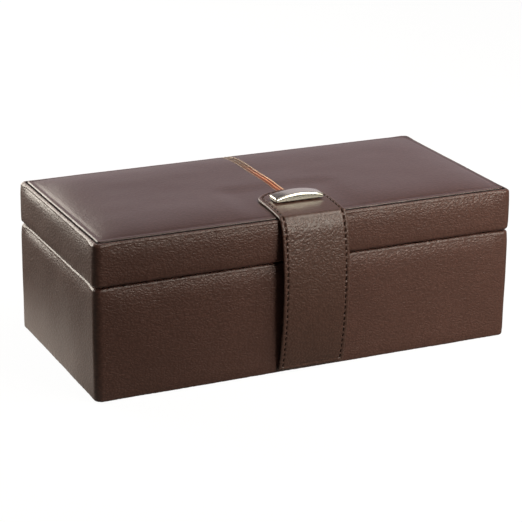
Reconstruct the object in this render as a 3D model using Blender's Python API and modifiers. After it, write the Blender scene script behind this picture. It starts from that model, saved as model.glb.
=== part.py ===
"""Watch and cufflink box.

A board carcass wrapped in leather, with a padded lid on two butt hinges and a
leather strap that folds over the front. Inside are five watch compartments
with lift-out pillows and a row of six cufflink cells. Metres, +Z up, the origin
on the floor under the middle of the box and the front facing -Y.
"""

import math

import bmesh
import bpy
from mathutils import Matrix, Vector

X, Y, Z = range(3)

# Driving dimensions of the whole box
BOX_LENGTH = 0.300
BOX_DEPTH = 0.147
BOX_HEIGHT = 0.106
LID_HEIGHT = 0.029

# Clearances: between seated pieces, at the closed parting line, and past a cut
FIT_GAP = 0.0003
PARTING_GAP = 0.0006
OVERRUN = 0.002

# Sheet and board thicknesses
LEATHER = 0.0012
LINING = 0.0010
WALL_BOARD = 0.0050
BOTTOM_BOARD = 0.0040
TOP_BOARD = 0.0040
UNDERSIDE_FELT = 0.0015

# Roundings of the leather: upright corners, rims, and the foot of the base
CORNER_RADIUS = 0.0030
RIM_RADIUS = 0.0026
FOOT_RADIUS = 0.0015

# The padded panel in the top of the lid
TOP_FRAME_WIDTH = 0.0036
PANEL_PROUD = 0.0005
PANEL_LEATHER = 0.0010
PANEL_EDGE_RADIUS = 0.0013
SEAM_GAP = 0.0003
CROWN_HEIGHT = 0.0034
CROWN_MARGIN = 0.050
CROWN_POWER = 3.5
PRESSED_SHARE = 0.30
PRESSED_HALF_WIDTH = 0.030
PRESSED_BACK_Y = -0.018
PRESSED_FADE = 0.025
LID_LINING_PAD = 0.0032
LID_PAD_RADIUS = 0.0012

# Compartments
WATCH_COMPARTMENTS = 5
CUFFLINK_CELLS = 6
WATCH_COMPARTMENT_DEPTH = 0.084
ROW_DIVIDER = 0.0040
WATCH_DIVIDER = 0.0030
CUFFLINK_DIVIDER = 0.0025
DIVIDER_DROP = 0.005
DIVIDER_ROUNDING = 0.0009
CUFFLINK_CELL_HEIGHT = 0.028
SHELF_BOARD = 0.0030
SHELF_SUPPORT = 0.0040

# Watch pillows
PILLOW_SIDE_CLEARANCE = 0.0009
PILLOW_HEIGHT = 0.050
PILLOW_ROUNDING_SHARE = 0.48

# Hinges
HINGE_LENGTH = 0.030
HINGE_INSET = 0.055
HINGE_AXIS_OUT = 0.0014
HINGE_BARREL_RADIUS = 0.0022
HINGE_PIN_RADIUS = 0.0009
HINGE_KNUCKLES = 3
PIN_HEAD_RADIUS = 0.0017
PIN_HEAD_LENGTH = 0.0010

# The leather strap
STRAP_WIDTH = 0.0475
STRAP_THICKNESS = 0.0020
STRAP_TIP_REACH = 0.046
STRAP_TIP_LENGTH = 0.016
STRAP_BEND_RADIUS = 0.0050
STRAP_BEND_END = math.radians(170)
STRAP_LEVEL_RUN = 0.004
STRAP_STANDOFF = 0.0037
STRAP_BOW = 0.0051
STRAP_FLOOR_GAP = 0.0030
STRAP_FOLD_ANGLE = math.radians(135)

# The metal bar on the strap, with its posts and nuts
BAR_LENGTH = 0.0344
BAR_DEPTH = 0.0105
BAR_END_HEIGHT = 0.0018
BAR_MIDDLE_HEIGHT = 0.0048
BAR_FRONT_REACH = 0.0190
BAR_LIFT = 0.0008
BAR_BEVEL = 0.0004
BAR_COLLAR_RADIUS = 0.0025
BAR_POST_RADIUS = 0.00125
BAR_POST_SPREAD = 0.012
NUT_RADIUS = 0.0026
NUT_HEIGHT = 0.0016
NUT_SIDES = 6

# Magnets of the closure
MAGNET_RADIUS = 0.0045
STRAP_MAGNET_THICKNESS = 0.0008
BASE_MAGNET_THICKNESS = 0.0020
MAGNET_HEIGHT = 0.0112

# Counts of segments on round stretches
CORNER_SEGMENTS = 4
RIM_SEGMENTS = 3
ROUND_SEGMENTS = 20
BEND_SEGMENTS = 6
STRAP_SEGMENTS = 14
TIP_SEGMENTS = 14
BAR_SEGMENTS = 10
BAR_BEVEL_SEGMENTS = 2
PILLOW_CUTS = 7
PANEL_LENGTH_CUTS = 8
PANEL_DEPTH_CUTS = 14
ROUND_PROFILE = 0.5
TINY = 1e-6

# Places that several pieces share
HALF_LENGTH = BOX_LENGTH / 2
HALF_DEPTH = BOX_DEPTH / 2
PARTING_Z = BOX_HEIGHT - LID_HEIGHT
BASE_RIM_Z = PARTING_Z - PARTING_GAP / 2
LID_RIM_Z = PARTING_Z + PARTING_GAP / 2
SKIN = LEATHER + FIT_GAP
BOARD_ROUNDING = CORNER_RADIUS - SKIN
BOARD_HALF_LENGTH = HALF_LENGTH - SKIN
BOARD_HALF_DEPTH = HALF_DEPTH - SKIN
RIM_WIDTH = SKIN + WALL_BOARD
CAVITY_HALF_LENGTH = HALF_LENGTH - RIM_WIDTH
CAVITY_HALF_DEPTH = HALF_DEPTH - RIM_WIDTH
INNER_HALF_LENGTH = CAVITY_HALF_LENGTH - FIT_GAP - LINING
INNER_HALF_DEPTH = CAVITY_HALF_DEPTH - FIT_GAP - LINING
WRAP_BOTTOM_Z = FIT_GAP
BOTTOM_BOARD_Z = UNDERSIDE_FELT + FIT_GAP
WALL_BOTTOM_Z = BOTTOM_BOARD_Z + BOTTOM_BOARD + FIT_GAP
WALL_TOP_Z = BASE_RIM_Z - SKIN
FLOOR_Z = WALL_BOTTOM_Z + LINING
LID_WALL_BOTTOM_Z = LID_RIM_Z + SKIN
TOP_BOARD_TOP_Z = BOX_HEIGHT - SKIN
TOP_BOARD_Z = TOP_BOARD_TOP_Z - TOP_BOARD
LID_WALL_TOP_Z = TOP_BOARD_Z - FIT_GAP
PANEL_HALF_LENGTH = HALF_LENGTH - TOP_FRAME_WIDTH - FIT_GAP
PANEL_HALF_DEPTH = HALF_DEPTH - TOP_FRAME_WIDTH - FIT_GAP
PANEL_SEAT_Z = TOP_BOARD_TOP_Z + FIT_GAP
PANEL_EDGE_Z = BOX_HEIGHT + PANEL_PROUD
DIVIDER_TOP_Z = BASE_RIM_Z - DIVIDER_DROP
ROW_DIVIDER_BACK_Y = INNER_HALF_DEPTH - WATCH_COMPARTMENT_DEPTH
ROW_DIVIDER_FRONT_Y = ROW_DIVIDER_BACK_Y - ROW_DIVIDER
SHELF_TOP_Z = DIVIDER_TOP_Z - CUFFLINK_CELL_HEIGHT
SHELF_Z = SHELF_TOP_Z - SHELF_BOARD
HINGE_LEAF = LEATHER
HINGE_Y = HALF_DEPTH + HINGE_AXIS_OUT
HINGE_AXIS = Vector((0, HINGE_Y, PARTING_Z))
HINGE_X = HALF_LENGTH - HINGE_INSET
STRAP_BEND_Y = -(HALF_DEPTH + STRAP_STANDOFF) - STRAP_BEND_RADIUS * math.cos(STRAP_BEND_END)
STRAP_TIP_Y = -HALF_DEPTH + STRAP_TIP_REACH
BAR_FRONT_Y = -HALF_DEPTH + BAR_FRONT_REACH
BAR_BACK_Y = BAR_FRONT_Y + BAR_DEPTH
BAR_Y = (BAR_FRONT_Y + BAR_BACK_Y) / 2


def clear_scene():
    """Remove every object that the file opened with."""
    for old in list(bpy.data.objects):
        bpy.data.objects.remove(old, do_unlink=True)


def new_collection(name):
    """Add a collection to the scene."""
    collection = bpy.data.collections.new(name)
    bpy.context.scene.collection.children.link(collection)
    return collection


def new_finish(name, colour, roughness, metallic=0.0):
    """A plain Principled material."""
    material = bpy.data.materials.new(name)
    material.use_nodes = True
    shader = material.node_tree.nodes["Principled BSDF"]
    shader.inputs["Base Color"].default_value = (*colour, 1.0)
    shader.inputs["Roughness"].default_value = roughness
    shader.inputs["Metallic"].default_value = metallic
    material.diffuse_color = (*colour, 1.0)
    return material


clear_scene()
PARTS = new_collection("watch_and_cufflink_box")
TOOLS = new_collection("cutters")

LEATHER_FINISH = new_finish("brown_leather", (0.060, 0.035, 0.027), 0.45)
STRAP_FINISH = new_finish("strap_leather", (0.070, 0.042, 0.031), 0.45)
SUEDE_FINISH = new_finish("tan_suede", (0.42, 0.30, 0.20), 0.95)
BOARD_FINISH = new_finish("carcass_board", (0.36, 0.25, 0.15), 0.80)
FOAM_FINISH = new_finish("pad_foam", (0.75, 0.72, 0.62), 0.90)
FELT_FINISH = new_finish("underside_felt", (0.030, 0.022, 0.018), 0.95)
BRASS_FINISH = new_finish("hinge_brass", (0.72, 0.53, 0.24), 0.30, 1.0)
CHROME_FINISH = new_finish("bar_chrome", (0.80, 0.80, 0.80), 0.10, 1.0)
STEEL_FINISH = new_finish("magnet_steel", (0.55, 0.55, 0.56), 0.35, 1.0)


# Empties that carry the pieces of each moving body

def new_carrier(name, place, parent=None):
    """An unturned empty, placed in the world, that may ride on another one."""
    carrier = bpy.data.objects.new(name, None)
    PARTS.objects.link(carrier)
    carrier["world_place"] = place
    carrier.parent = parent
    carrier.location = Vector(place) - world_place(parent)
    return carrier


def world_place(carrier):
    """Where an empty stands in the world."""
    if carrier is None:
        return Vector()
    return Vector(carrier["world_place"])


def share_of(value, start, end):
    """How far a value has come from one limit to another, from 0 to 1."""
    return min(max((value - start) / (end - start), 0), 1)


def crown_height(x, y):
    """How far the padded panel stands above its own edge, less where the strap presses it."""
    rise = CROWN_HEIGHT
    for place, half in ((x, PANEL_HALF_LENGTH), (y, PANEL_HALF_DEPTH)):
        inward = share_of(abs(place), half, half - CROWN_MARGIN)
        rise *= 1 - (1 - inward) ** CROWN_POWER
    beside = 1 - share_of(abs(x), PRESSED_HALF_WIDTH, PRESSED_HALF_WIDTH + PRESSED_FADE)
    ahead = 1 - share_of(y, PRESSED_BACK_Y, PRESSED_BACK_Y + PRESSED_FADE)
    return rise * (1 - PRESSED_SHARE * beside * ahead)


def panel_z(x, y):
    """Height of the leather on the lid at a point in plan."""
    return PANEL_EDGE_Z + crown_height(x, y)


STRAP_REST_Y = -PANEL_HALF_DEPTH + STRAP_LEVEL_RUN
STRAP_BEND_TOP_Z = panel_z(0, STRAP_REST_Y) + FIT_GAP
STRAP_BEND_Z = STRAP_BEND_TOP_Z - STRAP_BEND_RADIUS
STRAP_FLAP_TOP_Z = STRAP_BEND_Z + STRAP_BEND_RADIUS * math.sin(STRAP_BEND_END)
STRAP_MIDDLE_RADIUS = STRAP_BEND_RADIUS + STRAP_THICKNESS / 2
STRAP_AXIS = Vector((
    0,
    STRAP_BEND_Y + STRAP_MIDDLE_RADIUS * math.cos(STRAP_FOLD_ANGLE),
    STRAP_BEND_Z + STRAP_MIDDLE_RADIUS * math.sin(STRAP_FOLD_ANGLE),
))
BAR_COLLAR_Z = panel_z(0, BAR_BACK_Y) + FIT_GAP + STRAP_THICKNESS + FIT_GAP
BAR_SEAT_Z = BAR_COLLAR_Z + BAR_LIFT

BASE = new_carrier("base", (0, 0, 0))
LID = new_carrier("lid_hinge_axis", HINGE_AXIS, BASE)
STRAP = new_carrier("strap_fold_axis", STRAP_AXIS, LID)


# Building helpers

def add_part(name, bm, finish, carrier, origin=None, collection=None):
    """Make an object from world geometry, with its origin moved to a place."""
    origin = world_place(carrier) if origin is None else Vector(origin)
    mesh = bpy.data.meshes.new(name)
    bm.to_mesh(mesh)
    bm.free()
    mesh.transform(Matrix.Translation(-origin))
    part = bpy.data.objects.new(name, mesh)
    (collection or PARTS).objects.link(part)
    part.parent = carrier
    part.location = origin - world_place(carrier)
    if finish is not None:
        mesh.materials.append(finish)
    return part


def add_tool(name, bm, carrier):
    """An object that only cuts or joins others."""
    tool = add_part(name, bm, None, carrier, collection=TOOLS)
    tool.hide_render = True
    tool.display_type = "WIRE"
    return tool


def combine(part, tool, operation):
    """Cut a part with a tool, join them, or keep what they share."""
    modifier = part.modifiers.new(operation.lower() + "_" + tool.name, "BOOLEAN")
    modifier.object = tool
    modifier.operation = operation
    modifier.solver = "EXACT"
    return part


def smooth(part, angle=math.radians(35)):
    """Shade a part smooth, with its sharp edges kept."""
    part.data.shade_smooth()
    part.data.set_sharp_from_angle(angle=angle)
    return part


def box(low, high):
    """A box between two corners."""
    low, high = Vector(low), Vector(high)
    bm = bmesh.new()
    bmesh.ops.create_cube(bm, size=1)
    bmesh.ops.scale(bm, vec=high - low, verts=bm.verts)
    bmesh.ops.translate(bm, vec=(low + high) / 2, verts=bm.verts)
    return bm


def lies_at(edge, axis, value):
    """Whether an edge lies in a plane square to an axis."""
    return all(abs(vertex.co[axis] - value) < TINY for vertex in edge.verts)


def runs_along(edge, axis):
    """Whether an edge is parallel to an axis."""
    step = edge.verts[1].co - edge.verts[0].co
    return abs(abs(step[axis]) - step.length) < TINY


def round_edges(bm, radius, segments, chosen):
    """Round the edges that a test picks."""
    edges = [edge for edge in bm.edges if chosen(edge)]
    bmesh.ops.bevel(
        bm, geom=edges, offset=radius, offset_type="OFFSET", segments=segments,
        profile=ROUND_PROFILE, affect="EDGES", clamp_overlap=True,
    )
    return bm


def cylinder(radius, start, end, segments=ROUND_SEGMENTS):
    """A closed cylinder from one point to another."""
    start, end = Vector(start), Vector(end)
    bm = bmesh.new()
    bmesh.ops.create_cone(
        bm, cap_ends=True, cap_tris=False, segments=segments,
        radius1=radius, radius2=radius, depth=(end - start).length,
    )
    turn = Vector((0, 0, 1)).rotation_difference(end - start).to_matrix().to_4x4()
    bmesh.ops.transform(bm, matrix=Matrix.Translation((start + end) / 2) @ turn, verts=bm.verts)
    return bm


def outline_solid(points, thickness, turn):
    """A flat outline given thickness about its plane, then turned into place."""
    curve = bpy.data.curves.new("outline", "CURVE")
    curve.dimensions = "2D"
    curve.fill_mode = "BOTH"
    curve.extrude = thickness / 2
    spline = curve.splines.new("POLY")
    spline.points.add(len(points) - 1)
    for point, place in zip(spline.points, points):
        point.co = (place[0], place[1], 0, 1)
    spline.use_cyclic_u = True
    holder = bpy.data.objects.new("outline", curve)
    bpy.context.scene.collection.objects.link(holder)
    evaluated = holder.evaluated_get(bpy.context.evaluated_depsgraph_get())
    mesh = bpy.data.meshes.new_from_object(evaluated)
    bpy.data.objects.remove(holder, do_unlink=True)
    bm = bmesh.new()
    bm.from_mesh(mesh)
    bpy.data.meshes.remove(mesh)
    bmesh.ops.remove_doubles(bm, verts=bm.verts, dist=TINY)
    limit = math.radians(1)
    bmesh.ops.dissolve_limit(bm, angle_limit=limit, verts=bm.verts, edges=bm.edges)
    bmesh.ops.transform(bm, matrix=turn, verts=bm.verts)
    bmesh.ops.recalc_face_normals(bm, faces=bm.faces)
    return bm


# An outline drawn as (y, z) becomes a plate square to X, and one drawn as (x, z) square to Y
TURN_YZ = Matrix(((0, 0, 1, 0), (1, 0, 0, 0), (0, 1, 0, 0), (0, 0, 0, 1)))
TURN_XZ = Matrix(((1, 0, 0, 0), (0, 0, -1, 0), (0, 1, 0, 0), (0, 0, 0, 1)))


def solidify(part, thickness):
    """Give an open or hollow surface a wall on its inner side."""
    modifier = part.modifiers.new("wall", "SOLIDIFY")
    modifier.thickness = thickness
    modifier.offset = -1
    modifier.use_even_offset = True
    return part


# Leather wraps

def leather_wrap(name, low_z, high_z, low_radius, high_radius, low_lip, high_lip, carrier):
    """A leather skin round the walls, turned in over both rims."""
    bm = box((-HALF_LENGTH, -HALF_DEPTH, low_z), (HALF_LENGTH, HALF_DEPTH, high_z))
    round_edges(bm, CORNER_RADIUS, CORNER_SEGMENTS, lambda edge: runs_along(edge, Z))
    round_edges(bm, high_radius, RIM_SEGMENTS, lambda edge: lies_at(edge, Z, high_z))
    round_edges(bm, low_radius, RIM_SEGMENTS, lambda edge: lies_at(edge, Z, low_z))
    wrap = solidify(add_part(name, bm, LEATHER_FINISH, carrier), LEATHER)
    middle = (low_z + high_z) / 2
    spans = (("lower", low_lip, low_z - OVERRUN, middle), ("upper", high_lip, middle, high_z + OVERRUN))
    for label, lip, start, end in spans:
        reach_x = HALF_LENGTH - lip
        reach_y = HALF_DEPTH - lip
        mouth = box((-reach_x, -reach_y, start), (reach_x, reach_y, end))
        combine(wrap, add_tool(name + "_" + label + "_mouth", mouth, carrier), "DIFFERENCE")
    return smooth(wrap)


def cut_hinge_notch(wrap, side, low_z, high_z, carrier):
    """Let a hinge leaf into the rim of a leather wrap."""
    reach = HINGE_LENGTH / 2 + FIT_GAP
    centre = side * HINGE_X
    notch = box(
        (centre - reach, CAVITY_HALF_DEPTH - OVERRUN, low_z),
        (centre + reach, HALF_DEPTH + OVERRUN, high_z),
    )
    combine(wrap, add_tool(wrap.name + "_notch" + str(side), notch, carrier), "DIFFERENCE")


# Carcass boards

def wall_board(name, low, high, outer_axis, outer_side, rim_z, carrier):
    """A wall board whose outer rim and upright outer edges are eased."""
    bm = box(low, high)
    outer = (high if outer_side > 0 else low)[outer_axis]

    def is_eased(edge):
        on_outside = lies_at(edge, outer_axis, outer)
        at_rim = lies_at(edge, Z, rim_z)
        if outer_axis == X:
            return on_outside and at_rim
        at_end = lies_at(edge, X, low[X]) or lies_at(edge, X, high[X])
        return (on_outside and (at_rim or runs_along(edge, Z))) or (at_end and at_rim)

    round_edges(bm, BOARD_ROUNDING, RIM_SEGMENTS, is_eased)
    centre = (Vector(low) + Vector(high)) / 2
    return add_part(name, bm, BOARD_FINISH, carrier, centre)


def wall_boards(prefix, low_z, high_z, rim_z, carrier):
    """The four boards that stand round the base or hang round the lid."""
    boards = {}
    side_reach = CAVITY_HALF_DEPTH - FIT_GAP
    for label, side in (("front", -1), ("back", 1)):
        near, far = sorted((side * CAVITY_HALF_DEPTH, side * BOARD_HALF_DEPTH))
        low = (-BOARD_HALF_LENGTH, near, low_z)
        high = (BOARD_HALF_LENGTH, far, high_z)
        boards[label] = wall_board(prefix + "_" + label + "_board", low, high, Y, side, rim_z, carrier)
    for label, side in (("left", -1), ("right", 1)):
        near, far = sorted((side * CAVITY_HALF_LENGTH, side * BOARD_HALF_LENGTH))
        low = (near, -side_reach, low_z)
        high = (far, side_reach, high_z)
        boards[label] = wall_board(prefix + "_" + label + "_board", low, high, X, side, rim_z, carrier)
    return boards


def flat_board(name, half_length, half_depth, low_z, high_z, finish, carrier, eased=None, radius=None):
    """A level board or sheet, with its upright edges and one face's edges eased."""
    bm = box((-half_length, -half_depth, low_z), (half_length, half_depth, high_z))
    if radius:
        round_edges(
            bm, radius, RIM_SEGMENTS,
            lambda edge: runs_along(edge, Z) or (eased is not None and lies_at(edge, Z, eased)),
        )
    return add_part(name, bm, finish, carrier, (0, 0, (low_z + high_z) / 2))


def lining_ring(name, low_z, high_z, carrier):
    """The suede on the inside of the four walls."""
    reach_x = CAVITY_HALF_LENGTH - FIT_GAP
    reach_y = CAVITY_HALF_DEPTH - FIT_GAP
    bm = box((-reach_x, -reach_y, low_z), (reach_x, reach_y, high_z))
    ends = [face for face in bm.faces if round(abs(face.normal.z)) == 1]
    bmesh.ops.delete(bm, geom=ends, context="FACES_ONLY")
    return solidify(add_part(name, bm, SUEDE_FINISH, carrier), LINING)


# Base

def build_base():
    """The carcass of the base, its leather and its lining."""
    wrap = leather_wrap(
        "base_leather_wrap", WRAP_BOTTOM_Z, BASE_RIM_Z, FOOT_RADIUS, RIM_RADIUS,
        RIM_WIDTH, RIM_WIDTH, BASE,
    )
    for side in (-1, 1):
        cut_hinge_notch(wrap, side, WALL_TOP_Z, BASE_RIM_Z + OVERRUN, BASE)
    boards = wall_boards("base", WALL_BOTTOM_Z, WALL_TOP_Z, WALL_TOP_Z, BASE)
    flat_board(
        "base_bottom_board", BOARD_HALF_LENGTH, BOARD_HALF_DEPTH,
        BOTTOM_BOARD_Z, BOTTOM_BOARD_Z + BOTTOM_BOARD, BOARD_FINISH, BASE, radius=BOARD_ROUNDING,
    )
    flat_board(
        "base_underside_felt", CAVITY_HALF_LENGTH - FIT_GAP, CAVITY_HALF_DEPTH - FIT_GAP,
        0, UNDERSIDE_FELT, FELT_FINISH, BASE,
    )
    lining_ring("base_wall_lining", WALL_BOTTOM_Z, BASE_RIM_Z, BASE)
    flat_board(
        "base_floor_lining", INNER_HALF_LENGTH - FIT_GAP, INNER_HALF_DEPTH - FIT_GAP,
        WALL_BOTTOM_Z, FLOOR_Z, SUEDE_FINISH, BASE,
    )
    return wrap, boards["front"]


def divider(name, low, high):
    """A suede covered divider with its top edges eased."""
    bm = box(low, high)
    round_edges(bm, DIVIDER_ROUNDING, RIM_SEGMENTS, lambda edge: lies_at(edge, Z, high[Z]))
    centre = (Vector(low) + Vector(high)) / 2
    return smooth(add_part(name, bm, SUEDE_FINISH, BASE, centre))


def cell_centres(count, wall):
    """Middles of equal cells along the box, with a wall between each two."""
    width = (2 * INNER_HALF_LENGTH - (count - 1) * wall) / count
    return width, [-INNER_HALF_LENGTH + width / 2 + index * (width + wall) for index in range(count)]


def build_dividers():
    """The row divider, both sets of cross dividers and the cufflink shelf."""
    seat_z = FLOOR_Z + FIT_GAP
    reach = INNER_HALF_LENGTH - FIT_GAP
    divider(
        "row_divider",
        (-reach, ROW_DIVIDER_FRONT_Y, seat_z), (reach, ROW_DIVIDER_BACK_Y, DIVIDER_TOP_Z),
    )
    width, centres = cell_centres(WATCH_COMPARTMENTS, WATCH_DIVIDER)
    for index, centre in enumerate(centres[:-1], start=1):
        left = centre + width / 2
        divider(
            "watch_divider_" + str(index),
            (left, ROW_DIVIDER_BACK_Y + FIT_GAP, seat_z),
            (left + WATCH_DIVIDER, INNER_HALF_DEPTH - FIT_GAP, DIVIDER_TOP_Z),
        )
    front_y = -INNER_HALF_DEPTH + FIT_GAP
    back_y = ROW_DIVIDER_FRONT_Y - FIT_GAP
    width, centres = cell_centres(CUFFLINK_CELLS, CUFFLINK_DIVIDER)
    for index, centre in enumerate(centres[:-1], start=1):
        left = centre + width / 2
        divider(
            "cufflink_divider_" + str(index),
            (left, front_y, SHELF_TOP_Z + FIT_GAP),
            (left + CUFFLINK_DIVIDER, back_y, DIVIDER_TOP_Z),
        )
    add_part(
        "cufflink_shelf", box((-reach, front_y, SHELF_Z), (reach, back_y, SHELF_TOP_Z)),
        SUEDE_FINISH, BASE, (0, (front_y + back_y) / 2, SHELF_Z),
    )
    for label, side in (("left", -1), ("right", 1)):
        near, far = sorted((side * reach, side * (reach - SHELF_SUPPORT)))
        add_part(
            "shelf_support_" + label,
            box((near, front_y, seat_z), (far, back_y, SHELF_Z - FIT_GAP)),
            BOARD_FINISH, BASE, ((near + far) / 2, (front_y + back_y) / 2, seat_z),
        )


def pillow_form(half_size):
    """A crowned cushion: rounded like a ball, squared off towards its box."""
    bm = bmesh.new()
    bmesh.ops.create_cube(bm, size=1)
    bmesh.ops.subdivide_edges(bm, edges=bm.edges, cuts=PILLOW_CUTS, use_grid_fill=True)
    for vertex in bm.verts:
        direction = vertex.co.normalized()
        for axis in (X, Y, Z):
            squared = abs(direction[axis]) ** PILLOW_ROUNDING_SHARE
            vertex.co[axis] = math.copysign(squared, direction[axis]) * half_size[axis]
    return bm


def build_pillows():
    """Five pillows, each lifting straight up out of its compartment."""
    width, centres = cell_centres(WATCH_COMPARTMENTS, WATCH_DIVIDER)
    half_size = Vector((
        width / 2 - PILLOW_SIDE_CLEARANCE,
        WATCH_COMPARTMENT_DEPTH / 2 - PILLOW_SIDE_CLEARANCE,
        PILLOW_HEIGHT / 2,
    ))
    middle_y = ROW_DIVIDER_BACK_Y + WATCH_COMPARTMENT_DEPTH / 2
    middle_z = FLOOR_Z + FIT_GAP + half_size.z
    for index, centre in enumerate(centres, start=1):
        bm = pillow_form(half_size)
        place = Vector((centre, middle_y, middle_z))
        bmesh.ops.translate(bm, vec=place, verts=bm.verts)
        smooth(add_part("watch_pillow_" + str(index), bm, SUEDE_FINISH, BASE, place), math.pi)


# Lid

def crowned_grid(inner_x, outer_x, half_depth, drop):
    """A sheet that follows the crown of the lid, closer lined near its outer edges."""
    bm = bmesh.new()
    bmesh.ops.create_grid(bm, x_segments=PANEL_LENGTH_CUTS, y_segments=PANEL_DEPTH_CUTS, size=1)
    for vertex in bm.verts:
        share = (1 + vertex.co.x) / 2
        vertex.co.x = inner_x + (outer_x - inner_x) * math.sin(share * math.pi / 2)
        vertex.co.y = half_depth * math.sin(vertex.co.y * math.pi / 2)
        vertex.co.z = panel_z(vertex.co.x, vertex.co.y) - drop
    if outer_x < inner_x:
        bmesh.ops.reverse_faces(bm, faces=bm.faces)
    return bm


def top_leather(label, side):
    """One half of the lid's top leather: crowned, rolled down at its outer edges."""
    seam_x = side * SEAM_GAP / 2
    outer_x = side * PANEL_HALF_LENGTH
    bm = crowned_grid(seam_x, outer_x, PANEL_HALF_DEPTH, 0)
    border = [edge for edge in bm.edges if edge.is_boundary and not lies_at(edge, X, seam_x)]
    hem = bmesh.ops.extrude_edge_only(bm, edges=border)["geom"]
    for vertex in (item for item in hem if isinstance(item, bmesh.types.BMVert)):
        vertex.co.z = PANEL_SEAT_Z
    rolled = {edge for edge in border if edge.is_valid}
    upright = {edge for edge in bm.edges if runs_along(edge, Z) and lies_at(edge, X, outer_x)
               and (lies_at(edge, Y, PANEL_HALF_DEPTH) or lies_at(edge, Y, -PANEL_HALF_DEPTH))}
    rolled |= upright
    round_edges(bm, PANEL_EDGE_RADIUS, RIM_SEGMENTS, lambda edge: edge in rolled)
    half = solidify(add_part("lid_top_leather_" + label, bm, LEATHER_FINISH, LID), PANEL_LEATHER)
    return smooth(half)


def foam_pad():
    """The foam under the top leather, one half made and mirrored."""
    skin = PANEL_LEATHER + FIT_GAP
    bm = crowned_grid(0, PANEL_HALF_LENGTH - skin, PANEL_HALF_DEPTH - skin, skin)
    lower = bmesh.ops.extrude_face_region(bm, geom=list(bm.faces), use_keep_orig=True)["geom"]
    for vertex in (item for item in lower if isinstance(item, bmesh.types.BMVert)):
        vertex.co.z = PANEL_SEAT_Z
    at_seam = [face for face in bm.faces if all(abs(vertex.co.x) < TINY for vertex in face.verts)]
    bmesh.ops.delete(bm, geom=at_seam, context="FACES_ONLY")
    bmesh.ops.recalc_face_normals(bm, faces=bm.faces)
    pad = add_part("lid_foam_pad", bm, FOAM_FINISH, LID, (0, 0, PANEL_SEAT_Z))
    mirror = pad.modifiers.new("mirror", "MIRROR")
    mirror.merge_threshold = TINY
    return smooth(pad)


def build_lid():
    """The carcass of the lid with its leather, pads and lining; gives what the bar goes through."""
    wrap = leather_wrap(
        "lid_leather_skirt", LID_RIM_Z, BOX_HEIGHT, RIM_RADIUS, RIM_RADIUS,
        RIM_WIDTH, TOP_FRAME_WIDTH, LID,
    )
    for side in (-1, 1):
        cut_hinge_notch(wrap, side, LID_RIM_Z - OVERRUN, LID_WALL_BOTTOM_Z, LID)
    wall_boards("lid", LID_WALL_BOTTOM_Z, LID_WALL_TOP_Z, LID_WALL_BOTTOM_Z, LID)
    board = flat_board(
        "lid_top_board", BOARD_HALF_LENGTH, BOARD_HALF_DEPTH, TOP_BOARD_Z, TOP_BOARD_TOP_Z,
        BOARD_FINISH, LID, eased=TOP_BOARD_TOP_Z, radius=BOARD_ROUNDING,
    )
    lining_ring("lid_wall_lining", LID_RIM_Z, LID_WALL_TOP_Z, LID)
    flat_board(
        "lid_lining_pad", INNER_HALF_LENGTH - FIT_GAP, INNER_HALF_DEPTH - FIT_GAP,
        LID_WALL_TOP_Z - LID_LINING_PAD, LID_WALL_TOP_Z, SUEDE_FINISH, LID,
        eased=LID_WALL_TOP_Z - LID_LINING_PAD, radius=LID_PAD_RADIUS,
    )
    left = top_leather("left", -1)
    right = top_leather("right", 1)
    return board, foam_pad(), left, right


# Strap

def strap_standoff(z):
    """How far the back of the strap stands off the front leather at a height."""
    share = share_of(z, STRAP_FLOOR_GAP, STRAP_FLAP_TOP_Z)
    return FIT_GAP + (STRAP_STANDOFF - FIT_GAP) * share + 4 * STRAP_BOW * share * (1 - share)


def strap_slope(z):
    """How fast the strap leaves the front leather at a height."""
    share = share_of(z, STRAP_FLOOR_GAP, STRAP_FLAP_TOP_Z)
    rise = STRAP_STANDOFF - FIT_GAP + 4 * STRAP_BOW * (1 - 2 * share)
    return rise / (STRAP_FLAP_TOP_Z - STRAP_FLOOR_GAP)


def bend_points(start, end):
    """Points of the strap's inner side round the bend, as (y, z)."""
    points = []
    for step in range(BEND_SEGMENTS + 1):
        angle = start + (end - start) * step / BEND_SEGMENTS
        y = STRAP_BEND_Y + STRAP_BEND_RADIUS * math.cos(angle)
        z = STRAP_BEND_Z + STRAP_BEND_RADIUS * math.sin(angle)
        points.append(Vector((y, z)))
    return points


def thickened(inner):
    """The outer line of the strap, one thickness off its inner line."""
    outer = []
    for index, point in enumerate(inner):
        before = inner[max(index - 1, 0)]
        after = inner[min(index + 1, len(inner) - 1)]
        along = (after - before).normalized()
        outer.append(point + Vector((along.y, -along.x)) * STRAP_THICKNESS)
    return outer


def tab_outline():
    """Side view of the tab that lies on the lid, up to the fold."""
    reach = STRAP_TIP_Y - STRAP_REST_Y
    inner = []
    for step in range(STRAP_SEGMENTS + 1):
        y = STRAP_REST_Y + reach * (1 - step / STRAP_SEGMENTS)
        inner.append(Vector((y, panel_z(0, y) + FIT_GAP)))
    clear_angle = (STRAP_THICKNESS / 2 + FIT_GAP) / STRAP_MIDDLE_RADIUS
    inner += bend_points(math.pi / 2, STRAP_FOLD_ANGLE - clear_angle)
    return inner + thickened(inner)[::-1]


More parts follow.
